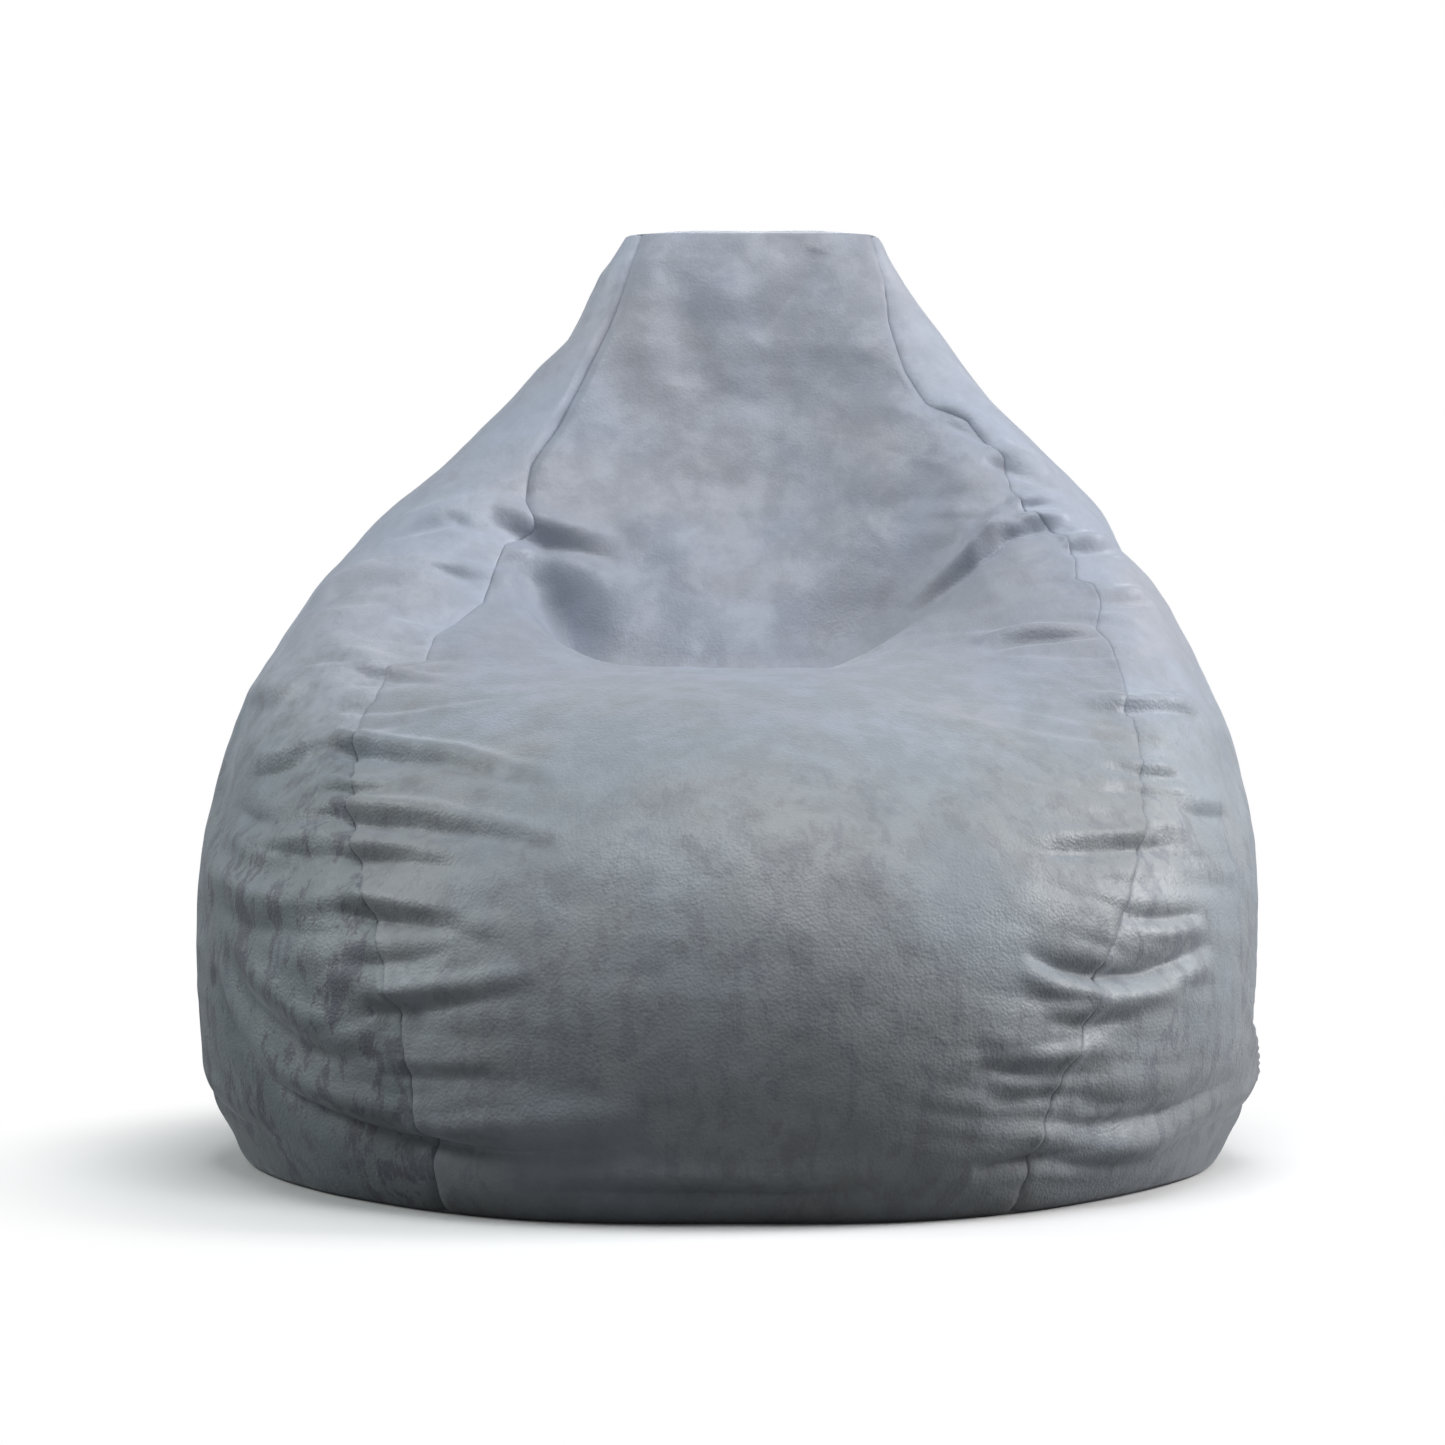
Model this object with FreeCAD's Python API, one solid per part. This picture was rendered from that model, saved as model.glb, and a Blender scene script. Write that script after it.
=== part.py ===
import FreeCAD, Part
import math
import os

# Pear-shaped bean bag chair: a sewn cover of seven panels over a liner full of beads.
#
# Frame: +Z up, the floor at Z = 0, the origin at the middle of the footprint, and the sitter faces -Y.
#
# The cover, the liner and the filling all follow one smooth skin. The skin is a cubic B-spline sheet through
# stations that run from the edge of the top cap down to the foot. Along the sheet, u counts pattern lines
# round the body and v runs from the cap (0) to the foot (1):
#
#     u = 0 and 8  centre back      u = 4  centre front
#     u = 1, 7     back seams       u = 3, 5  front seams       u = 2, 6  middles of the sides
#
# Every layer is the same sheet moved inwards by a depth, so layers never cross. All sizes are millimetres.

Vector = FreeCAD.Vector

# ---------------------------------------------------------------- driving dimensions
BODY_WIDTH = 944.0          # widest, a little above the foot
FRONT_REACH = 464.5         # origin to the front of the seat bulge
BACK_REACH = 466.0          # origin to the fullest part of the back
BODY_HEIGHT = 855.0         # floor to the underside of the top cap, at the cap's front edge
CAP_WIDTH = 224.0
CAP_DEPTH = 112.0
CAP_CENTRE_Y = 240.0        # the cap sits over the back half of the footprint
CAP_TILT = 0.055            # fall of the cap towards the back, per millimetre
CAP_LEAN = 21.0             # the top has slumped this far to the sitter's left (+X)
FULLEST_HEIGHT = 225.0      # where the back bulges most
BACK_BOW_RADIUS = 900.0     # profile of the back, side on, where the zip runs
BACK_BOW_MARGIN = 100.0     # the bow runs on this far above the zip

FABRIC = 1.6                # velvet with its backing
SEAM_GAP = 0.5              # between the cut edges of two panels
LAYER_GAP = 0.4             # between things laid flat on each other
LINER_DEPTH = 8.0           # cover's outside to the liner's outside
LINER_WALL = 0.8
FILL_GAP = 0.8              # liner to beads

TAPE_HALF_WIDTH = 12.0      # pressed-open seam allowance with its binding
TAPE_THICKNESS = 1.0
THREAD_HALF_WIDTH = 0.45
THREAD_THICKNESS = 0.4
SEAM_END_MARGIN = 8.0       # bindings and threads stop this far from the zip

ZIP_TOP_HEIGHT = 480.0      # closed slider, on the back
ZIP_BOTTOM_HEIGHT = 90.0
ZIP_HEM_HALF_GAP = 7.0      # panel hem to the zip's middle
ZIP_TAPE_THICKNESS = 0.7
ZIP_TAPE_WIDTH = 16.0
ZIP_TAPE_GAP = 0.9          # hem's inside to the tape's outside
ZIP_TAPE_DEPTH = FABRIC + ZIP_TAPE_GAP      # cover's outside to the tape's outside
ZIP_TOOTH_PITCH = 4.0
ZIP_TOOTH_LENGTH = 2.2      # along the chain
ZIP_TOOTH_REACH = 3.0       # across the chain, on one side
ZIP_TOOTH_HEIGHT = 1.6
ZIP_WEDGE_HALF_GAP = 0.8    # between the two rows, for the slider's wedge
ZIP_CORD_WIDTH = 1.0        # beaded edge that carries the teeth
SLIDER_CLEARANCE = 0.35
SLIDER_LENGTH = 20.0
SLIDER_PLATE = 1.3
SLIDER_FLANGE = 1.0
SLIDER_WEDGE_HALF = 0.4
SLIDER_WEDGE_LENGTH = 3.0
STOP_LENGTH = 3.0
PIN_RADIUS = 0.8
PIN_CLEARANCE = 0.08
EYE_WALL = 0.5              # round the pin, at the pull's end
EYE_CLEARANCE = 0.2         # eye to the slider's plate
LUG_THICKNESS = 1.2
LUG_ROOT = 0.3              # how far the lugs and the row ends run into what they stand on
TAB_LENGTH = 30.0
TAB_WIDTH = 7.0
TAB_THICKNESS = 1.6
TAB_HOLE_RADIUS = 1.6       # finger hole at the free end

LINER_ZIP_LENGTH = 420.0
LINER_ZIP_SLOT_HALF = 7.0

LABEL_WIDTH = 30.0
LABEL_LENGTH = 42.0
LABEL_THICKNESS = 0.4
LABEL_HEIGHT = 140.0        # floor to the label's middle

U_BACK, U_BACK_LEFT, U_LEFT, U_FRONT_LEFT = 0.0, 1.0, 2.0, 3.0
U_FRONT, U_FRONT_RIGHT, U_RIGHT, U_BACK_RIGHT, U_END = 4.0, 5.0, 6.0, 7.0, 8.0
LINES_ROUND = 8


# ---------------------------------------------------------------- the skin
# Each station is one line round the body. x is a share of half the width, y of the front or back reach
# (negative is forward) and z of the height, for the centre front, front seam, side, back seam and back.
# The first and last stations are flat and come from the cap and the foot.
STATIONS = [
    # centre front      front seam              side                   back seam              centre back
    ((0.350, 0.908), (0.292, 0.344, 0.908), (0.352, 0.500, 0.916), (0.286, 0.680, 0.906), (0.697, 0.902)),
    ((0.308, 0.814), (0.382, 0.272, 0.816), (0.494, 0.472, 0.822), (0.395, 0.730, 0.797), (0.771, 0.791)),
    ((0.250, 0.717), (0.490, 0.176, 0.729), (0.646, 0.420, 0.727), (0.508, 0.768, 0.690), (0.847, 0.680)),
    ((0.155, 0.623), (0.588, 0.058, 0.643), (0.764, 0.340, 0.641), (0.594, 0.800, 0.584), (0.919, 0.568)),
    ((-0.005, 0.536), (0.668, -0.105, 0.563), (0.852, 0.232, 0.554), (0.652, 0.812, 0.479), (0.967, 0.458)),
    ((-0.265, 0.505), (0.706, -0.300, 0.483), (0.920, 0.140, 0.469), (0.686, 0.806, 0.380), (0.992, 0.354)),
    ((-0.570, 0.468), (0.704, -0.490, 0.401), (0.968, 0.068, 0.376), (0.694, 0.780, 0.282), (1.000, 0.257)),
    ((-0.845, 0.376), (0.672, -0.668, 0.315), (0.995, 0.020, 0.276), (0.680, 0.748, 0.192), (0.993, 0.170)),
    ((-0.990, 0.243), (0.622, -0.782, 0.215), (0.998, 0.000, 0.173), (0.650, 0.730, 0.114), (0.977, 0.099)),
    ((-0.985, 0.106), (0.560, -0.812, 0.097), (0.972, 0.000, 0.078), (0.608, 0.716, 0.050), (0.955, 0.045)),
]
FOOT = ((-0.895,), (0.480, -0.766), (0.912, 0.000), (0.552, 0.690), (0.912,))
CAP = ((-0.5,), (0.485, -0.46), (0.53, 0.0), (0.47, 0.46), (0.5,))


def along_y(share):
    """A share of the front or back reach as a Y."""
    return share * (FRONT_REACH if share < 0.0 else BACK_REACH)


def centre_back_y(share_y, height):
    """Y of the centre back at a height: on the zip's bow up to a margin above the zip."""
    if height > ZIP_TOP_HEIGHT + BACK_BOW_MARGIN:
        return along_y(share_y)
    return BACK_REACH - BACK_BOW_RADIUS + math.sqrt(BACK_BOW_RADIUS ** 2 - (height - FULLEST_HEIGHT) ** 2)


def lean_at(share_z):
    """How far the top's slump moves a point at a share of the height sideways."""
    return CAP_LEAN * max(0.0, (share_z - 0.45) / 0.55)


def cap_plane_z(y):
    """Height of the cap's underside plane."""
    return BODY_HEIGHT - CAP_TILT * (y - (CAP_CENTRE_Y - CAP_DEPTH / 2))


def ring_from(front, seam, side, rear_seam, back):
    """Eight points round the body from the five of its right half, in the order of u."""
    def mirrored(point, lean):
        return Vector(2 * lean - point.x, point.y, point.z)

    lean = front.x
    left = [mirrored(p, lean) for p in (rear_seam, side, seam)]
    return [back] + left + [front, seam, side, rear_seam]


def cap_ring():
    """Edge of the top cap, on its tilted plane."""
    def point(x, y):
        at_y = CAP_CENTRE_Y + y * CAP_DEPTH
        return Vector(CAP_LEAN + x * CAP_WIDTH, at_y, cap_plane_z(at_y))

    (front,), seam, side, rear_seam, (back,) = CAP
    return ring_from(point(0, front), point(*seam), point(*side), point(*rear_seam), point(0, back))


def foot_ring():
    """Edge of the foot, one fabric thickness above the floor."""
    def point(x, y):
        return Vector(x * BODY_WIDTH / 2, along_y(y), FABRIC + LAYER_GAP)

    (front,), seam, side, rear_seam, (back,) = FOOT
    return ring_from(point(0, front), point(*seam), point(*side), point(*rear_seam), point(0, back))


def station_ring(station):
    """One line round the body between the cap and the foot."""
    def point(x, y, z):
        return Vector(x * BODY_WIDTH / 2 + lean_at(z), along_y(y), z * BODY_HEIGHT)

    (front_y, front_z), seam, side, rear_seam, (back_y, back_z) = station
    back = point(0, back_y, back_z)
    back.y = centre_back_y(back_y, back.z)
    ring = ring_from(point(0, front_y, front_z), point(*seam), point(*side), point(*rear_seam), back)
    for index, left in ((1, 7), (2, 6), (3, 5)):    # each side leans by its own height
        lean = lean_at(ring[left].z / BODY_HEIGHT)
        ring[index] = Vector(2 * lean - ring[left].x, ring[left].y, ring[left].z)
    return ring


SKIN_POINTS = [cap_ring()] + [station_ring(s) for s in STATIONS] + [foot_ring()]
ROWS = len(SKIN_POINTS)


def solve(matrix, right):
    """Solve a small dense linear system whose right-hand sides are vectors."""
    size = len(matrix)
    rows = [list(matrix[i]) for i in range(size)]
    values = [Vector(p) for p in right]
    for i in range(size):
        best = max(range(i, size), key=lambda r: abs(rows[r][i]))
        rows[i], rows[best] = rows[best], rows[i]
        values[i], values[best] = values[best], values[i]
        for r in range(i + 1, size):
            factor = rows[r][i] / rows[i][i]
            rows[r] = [a - factor * b for a, b in zip(rows[r], rows[i])]
            values[r] = values[r] - values[i] * factor
    found = [Vector()] * size
    for i in reversed(range(size)):
        rest = values[i]
        for k in range(i + 1, size):
            rest = rest - found[k] * rows[i][k]
        found[i] = rest * (1.0 / rows[i][i])
    return found


def clamped_knots():
    """Knots of a clamped cubic through ROWS evenly spaced parameters, by averaging."""
    at = [i / (ROWS - 1) for i in range(ROWS)]
    inner = [sum(at[j:j + 3]) / 3 for j in range(1, ROWS - 3)]
    return [0.0] * 4 + inner + [1.0] * 4


def basis(knots, index, degree, t):
    """Cox and de Boor's B-spline basis function."""
    if degree == 0:
        last = knots[index + 1] == knots[-1] and t == knots[-1]
        return 1.0 if knots[index] <= t < knots[index + 1] or (last and knots[index] < t) else 0.0
    total = 0.0
    span = knots[index + degree] - knots[index]
    if span > 0:
        total += (t - knots[index]) / span * basis(knots, index, degree - 1, t)
    span = knots[index + degree + 1] - knots[index + 1]
    if span > 0:
        total += (knots[index + degree + 1] - t) / span * basis(knots, index + 1, degree - 1, t)
    return total


def sheet_through(points):
    """The B-spline sheet through rings of points: closed round u, clamped along v."""
    knots = clamped_knots()
    across = [[basis(knots, j, 3, i / (ROWS - 1)) for j in range(ROWS)] for i in range(ROWS)]
    around = [[0.0] * LINES_ROUND for _ in range(LINES_ROUND)]
    for i in range(LINES_ROUND):
        around[i][i] = 4 / 6
        around[i][(i - 1) % LINES_ROUND] = 1 / 6
        around[i][(i + 1) % LINES_ROUND] = 1 / 6
    ring_poles = [solve(around, ring) for ring in points]
    poles = [solve(across, [ring_poles[r][c] for r in range(ROWS)]) for c in range(LINES_ROUND)]
    wrapped = [poles[c % LINES_ROUND] for c in range(-1, LINES_ROUND + 2)]
    u_knots = [float(k) for k in range(-3, LINES_ROUND + 4)]
    v_knots = sorted(set(knots))
    surface = Part.BSplineSurface()
    surface.buildFromPolesMultsKnots(wrapped, [1] * len(u_knots), [knots.count(k) for k in v_knots],
                                     u_knots, v_knots, False, False, 3, 3)
    return surface


BASE_SHEET = sheet_through(SKIN_POINTS)


def along_u(u, v, surface=BASE_SHEET):
    """First derivative round the body."""
    return surface.getDN(u, v, 1, 0)


def along_v(u, v, surface=BASE_SHEET):
    """First derivative from cap to foot."""
    return surface.getDN(u, v, 0, 1)


def inward(row, column):
    """Unit step inwards at a station's point; on the end rings, in the ring's plane and off that plane."""
    u, v = float(column), row / (ROWS - 1)
    normal = along_u(u, v).cross(along_v(u, v)).normalize()
    if row not in (0, ROWS - 1):
        return normal
    off = Vector(0, CAP_TILT, 1).normalize() * -1.0 if row == 0 else Vector(0, 0, 1)
    flat = normal - off * normal.dot(off)
    return flat.normalize() + off


INWARD = [[inward(r, c) for c in range(LINES_ROUND)] for r in range(ROWS)]
_sheets = {}


def sheet(depth):
    """The skin moved inwards by a depth; a negative depth moves it out."""
    if depth not in _sheets:
        moved = [[SKIN_POINTS[r][c] + INWARD[r][c] * depth for c in range(LINES_ROUND)] for r in range(ROWS)]
        _sheets[depth] = sheet_through(moved)
    return _sheets[depth]


def v_at_height(u, height, surface=BASE_SHEET):
    """Where the line u crosses a height, counted from the foot."""
    low, high = 0.0, 1.0
    for _ in range(50):
        middle = (low + high) / 2
        if surface.value(u, middle).z > height:
            low = middle
        else:
            high = middle
    return (low + high) / 2


# ---------------------------------------------------------------- solids from sheets
def cut_sheet(depth, u0, u1, v0, v1):
    """Part of the skin at a depth, between two lines and two rings."""
    piece = sheet(depth).copy()
    piece.segment(u0, u1, v0, v1)
    return piece


def edges_of(surface):
    """The four boundary curves of a sheet, as edges."""
    u0, u1, v0, v1 = surface.bounds()
    return [surface.uIso(u0).toShape(), surface.uIso(u1).toShape(),
            surface.vIso(v0).toShape(), surface.vIso(v1).toShape()]


def solid_of(faces):
    """Sew faces into one closed solid with a positive volume."""
    shell = Part.makeShell(faces)
    shell.sewShape()
    solid = Part.makeSolid(shell if shell.ShapeType == "Shell" else shell.Shells[0])
    if solid.Volume < 0:
        solid.reverse()
    if not solid.isValid():
        solid.fix(0.01, 0.01, 0.01)
    return solid


def between(outer, inner):
    """The solid between two sheets with matching edges."""
    walls = [Part.makeRuledSurface(a, b) for a, b in zip(edges_of(outer), edges_of(inner))]
    return solid_of([outer.toShape(), inner.toShape()] + walls)


def panel(u0, u1, v0=0.0, v1=1.0, depth=0.0, thickness=FABRIC):
    """A layer of the skin between two lines and two rings."""
    return between(cut_sheet(depth, u0, u1, v0, v1), cut_sheet(depth + thickness, u0, u1, v0, v1))


def seam_share(v=0.5):
    """Half a seam gap in u, at a ring."""
    return SEAM_GAP / 2 / along_u(U_RIGHT, v).Length


def closed_body(depth):
    """The whole skin at a depth, closed by its flat top and foot."""
    faces, rims = [], ([], [])
    for u0 in range(LINES_ROUND):
        piece = cut_sheet(depth, float(u0), u0 + 1.0, 0.0, 1.0)
        faces.append(piece.toShape())
        rims[0].append(piece.vIso(0.0).toShape())
        rims[1].append(piece.vIso(1.0).toShape())
    for rim in rims:
        faces.append(Part.Face(Part.Wire(Part.__sortEdges__(rim))))
    return solid_of(faces)


def plate(ring_v, thickness, towards):
    """A flat plate whose outline is the skin's first or last ring."""
    rim = [cut_sheet(0.0, float(u0), u0 + 1.0, 0.0, 1.0).vIso(ring_v).toShape() for u0 in range(LINES_ROUND)]
    face = Part.Face(Part.Wire(Part.__sortEdges__(rim)))
    return face.extrude(towards * thickness)


def strip(u, half_width, v0, v1, depth, thickness, rows=28):
    """A ribbon of even width laid along the line u, from v0 to v1."""
    def ribbon(at_depth):
        layer = sheet(at_depth)
        grid = []
        for side in (-1.0, 0.0, 1.0):
            line = []
            for i in range(rows):
                v = v0 + (v1 - v0) * i / (rows - 1)
                step = side * half_width / along_u(u % U_END, v).Length
                line.append(layer.value((u + step) % U_END, v))
            grid.append(line)
        surface = Part.BSplineSurface()
        surface.interpolate(grid)
        return surface

    return between(ribbon(depth), ribbon(depth + thickness))


def hoop(v0, v1, depth, thickness):
    """A ribbon once round the body; its two ends butt at the centre back."""
    butt = seam_share()
    return panel(U_BACK + butt, U_END - butt, v0, v1, depth, thickness)


# ---------------------------------------------------------------- tracks that a slider runs along
class BowedTrack:
    """The zip on the back: it bends about an axis along X, and s is the arc length down from its top."""

    def __init__(self):
        self.centre = Vector(0, BACK_REACH - BACK_BOW_RADIUS, FULLEST_HEIGHT)
        self.top_angle = self.angle(ZIP_TOP_HEIGHT)
        self.length = BACK_BOW_RADIUS * (self.top_angle - self.angle(ZIP_BOTTOM_HEIGHT))

    def angle(self, height):
        """Angle above the horizontal at which the bow reaches a height."""
        return math.asin((height - self.centre.z) / BACK_BOW_RADIUS)

    def block(self, s0, s1, x0, x1, depth0, depth1):
        """A box bent along the track: s along it, x across it, depth below the cover's outside."""
        inner, outer = BACK_BOW_RADIUS - depth1, BACK_BOW_RADIUS - depth0
        face = Part.Face(Part.makePolygon([
            Vector(x0, inner, 0), Vector(x1, inner, 0), Vector(x1, outer, 0), Vector(x0, outer, 0),
            Vector(x0, inner, 0)]))
        start = self.top_angle - s1 / BACK_BOW_RADIUS
        turned = face.revolve(Vector(), Vector(1, 0, 0), math.degrees((s1 - s0) / BACK_BOW_RADIUS))
        turned.rotate(Vector(), Vector(1, 0, 0), math.degrees(start))
        turned.translate(self.centre)
        return turned

    def place(self, shape, s):
        """Put a shape drawn with s along -Z and depth along -Y at its place on the track."""
        placed = shape.copy()
        placed.translate(Vector(0, BACK_BOW_RADIUS, 0))
        placed.rotate(Vector(), Vector(1, 0, 0), math.degrees(self.top_angle - s / BACK_BOW_RADIUS))
        placed.translate(self.centre)
        return placed


class FlatTrack:
    """The zip in the liner's flat foot: straight along X, s counted from its -X end, outside downwards."""

    def __init__(self, outside_z):
        self.outside_z = outside_z
        self.length = LINER_ZIP_LENGTH
        self.start = -LINER_ZIP_LENGTH / 2

    def block(self, s0, s1, x0, x1, depth0, depth1):
        """A box: s along the zip, x across it, depth above the liner's outside."""
        corner = Vector(self.start + s0, x0, self.outside_z + depth0)
        return Part.makeBox(s1 - s0, x1 - x0, depth1 - depth0, corner)


def zip_tape(track, side, tape_depth):
    """One woven tape, from the wedge's gap out under the hem."""
    inner, outer = ZIP_WEDGE_HALF_GAP, ZIP_WEDGE_HALF_GAP + ZIP_TAPE_WIDTH
    x0, x1 = (inner, outer) if side > 0 else (-outer, -inner)
    return track.block(0.0, track.length, x0, x1, tape_depth, tape_depth + ZIP_TAPE_THICKNESS)


def zip_teeth(track, side, tape_depth):
    """One row of teeth on its beaded edge, standing on the tape."""
    top = tape_depth - ZIP_TOOTH_HEIGHT
    back, front = ZIP_WEDGE_HALF_GAP + ZIP_TOOTH_REACH - ZIP_CORD_WIDTH, ZIP_WEDGE_HALF_GAP + ZIP_TOOTH_REACH
    first, last = STOP_LENGTH + ZIP_TOOTH_PITCH, track.length - STOP_LENGTH - ZIP_TOOTH_PITCH

    def span(s0, s1, near, far):
        x0, x1 = (near, far) if side > 0 else (-far, -near)
        return track.block(s0, s1, x0, x1, top, tape_depth)

    cord = span(first - ZIP_TOOTH_LENGTH, last + ZIP_TOOTH_LENGTH, back, front)
    offset = 0.0 if side > 0 else ZIP_TOOTH_PITCH / 2
    count = int((last - first - offset) / ZIP_TOOTH_PITCH) + 1
    teeth = []
    for i in range(count):
        s = first + offset + i * ZIP_TOOTH_PITCH
        half = ZIP_TOOTH_LENGTH / 2
        teeth.append(span(s - half, s + half, ZIP_WEDGE_HALF_GAP, back + LUG_ROOT))
    return cord.multiFuse(teeth).removeSplitter()


def zip_stops(track, s0, tape_depth):
    """A pair of stops, one on each row, past the end of the teeth."""
    top = tape_depth - ZIP_TOOTH_HEIGHT
    inner, outer = ZIP_WEDGE_HALF_GAP, ZIP_WEDGE_HALF_GAP + ZIP_TOOTH_REACH
    return Part.makeCompound([track.block(s0, s0 + STOP_LENGTH, x0, x1, top, tape_depth)
                              for x0, x1 in ((inner, outer), (-outer, -inner))])


def slider_shell(track, s0, tape_depth):
    """The slider's two plates, joined by its wedge, with flanges beside the teeth."""
    s1 = s0 + SLIDER_LENGTH
    plate_top = tape_depth - ZIP_TOOTH_HEIGHT - SLIDER_CLEARANCE
    under = tape_depth + ZIP_TAPE_THICKNESS + SLIDER_CLEARANCE
    flange_in = ZIP_WEDGE_HALF_GAP + ZIP_TOOTH_REACH + SLIDER_CLEARANCE
    half = flange_in + SLIDER_FLANGE
    outer_plate = track.block(s0, s1, -half, half, plate_top - SLIDER_PLATE, plate_top)
    inner_plate = track.block(s0, s1, -half, half, under, under + SLIDER_PLATE)
    flanges = [track.block(s0, s1, x0, x1, plate_top, tape_depth - SLIDER_CLEARANCE)
               for x0, x1 in ((flange_in, half), (-half, -flange_in))]
    wedge = track.block(s0, s0 + SLIDER_WEDGE_LENGTH, -SLIDER_WEDGE_HALF, SLIDER_WEDGE_HALF, plate_top, under)
    return outer_plate.multiFuse([inner_plate, wedge] + flanges).removeSplitter()


def slider_start():
    """Where the closed slider's top end stands on the track: just below the top stops."""
    return STOP_LENGTH + SLIDER_CLEARANCE


def slider_travel(track):
    """Arc length from the closed slider down to the bottom stops."""
    return track.length - STOP_LENGTH - SLIDER_CLEARANCE - SLIDER_LENGTH - slider_start()


# ---------------------------------------------------------------- the outer slider's pull
PIVOT_RISE = PIN_RADIUS + PIN_CLEARANCE + EYE_WALL + EYE_CLEARANCE     # pin's axis above the slider's plate


def plate_outside():
    """Depth of the slider's outer plate, on its outside, below the cover's outside."""
    return ZIP_TAPE_DEPTH - ZIP_TOOTH_HEIGHT - SLIDER_CLEARANCE - SLIDER_PLATE


def pivot_s():
    """Where the pull's pin stands on the track."""
    return slider_start() + SLIDER_LENGTH * 0.3


def eye_radius():
    """Outside of the pull's rolled eye and of the lugs' round tops."""
    return PIN_RADIUS + PIN_CLEARANCE + EYE_WALL


def pull_pin_and_lugs(track):
    """Two lugs on the outer plate, with the pin across them."""
    eye = eye_radius()
    lug_x = TAB_WIDTH / 2 + SLIDER_CLEARANCE
    rise = PIVOT_RISE - plate_outside()
    parts = []
    for side in (-1, 1):
        x0 = lug_x if side > 0 else -lug_x - LUG_THICKNESS
        # a block drawn at the track's origin: Y is up out of the cover
        block = Part.makeBox(LUG_THICKNESS, PIVOT_RISE + LUG_ROOT, 2 * eye,
                             Vector(x0, -plate_outside() - LUG_ROOT, -eye))
        cap = Part.makeCylinder(eye, LUG_THICKNESS, Vector(x0, rise, 0), Vector(1, 0, 0))
        parts += [block, cap]
    pin = Part.makeCylinder(PIN_RADIUS, 2 * (lug_x + LUG_THICKNESS), Vector(-lug_x - LUG_THICKNESS, rise, 0),
                            Vector(1, 0, 0))
    return [track.place(shape, pivot_s()) for shape in parts + [pin]]


def pull_tab(track):
    """The pull, hanging down flat over the teeth."""
    rise = PIVOT_RISE - plate_outside()
    bottom = rise - TAB_THICKNESS / 2
    eye = Part.makeCylinder(eye_radius(), TAB_WIDTH, Vector(-TAB_WIDTH / 2, rise, 0), Vector(1, 0, 0))
    shaft = Part.makeBox(TAB_WIDTH, TAB_THICKNESS, TAB_LENGTH - TAB_WIDTH / 2,
                         Vector(-TAB_WIDTH / 2, bottom, -TAB_LENGTH + TAB_WIDTH / 2))
    end = Part.makeCylinder(TAB_WIDTH / 2, TAB_THICKNESS, Vector(0, bottom, -TAB_LENGTH + TAB_WIDTH / 2),
                            Vector(0, 1, 0))
    tab = eye.multiFuse([shaft, end])
    hole = Part.makeCylinder(TAB_HOLE_RADIUS, 4 * TAB_THICKNESS,
                             Vector(0, bottom - TAB_THICKNESS, -TAB_LENGTH + TAB_WIDTH / 2), Vector(0, 1, 0))
    bore_start = Vector(-TAB_WIDTH, rise, 0)
    bore = Part.makeCylinder(PIN_RADIUS + PIN_CLEARANCE, 2 * TAB_WIDTH, bore_start, Vector(1, 0, 0))
    return track.place(tab.cut(hole).cut(bore), pivot_s())


# ---------------------------------------------------------------- the pieces
def cover_panels(track):
    """The seven panels of the cover; the back's two halves part round the zip."""
    gap = seam_share()
    slot = track.block(0.0, track.length, -ZIP_HEM_HALF_GAP, ZIP_HEM_HALF_GAP, -4 * FABRIC, 4 * FABRIC)
    up_from_cap = Vector(0, CAP_TILT, 1).normalize()
    cap = plate(0.0, FABRIC, up_from_cap)
    cap.translate(up_from_cap * LAYER_GAP)
    base = plate(1.0, FABRIC, Vector(0, 0, 1))
    base.translate(Vector(0, 0, -FABRIC - LAYER_GAP))
    return {
        "front_panel": panel(U_FRONT_LEFT + gap, U_FRONT_RIGHT - gap),
        "left_side_panel": panel(U_BACK_LEFT + gap, U_FRONT_LEFT - gap),
        "right_side_panel": panel(U_FRONT_RIGHT + gap, U_BACK_RIGHT - gap),
        "back_left_panel": panel(U_BACK + gap, U_BACK_LEFT - gap).cut(slot),
        "back_right_panel": panel(U_BACK_RIGHT + gap, U_END - gap).cut(slot),
        "top_cap_panel": cap,
        "base_panel": base,
    }


END_MARGIN_V = 0.012        # ribbons stop this far from the cap and the foot
HOOP_V = 0.016              # width of the two hoops, in v
UPRIGHT_V0 = END_MARGIN_V + HOOP_V + 0.006


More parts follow.
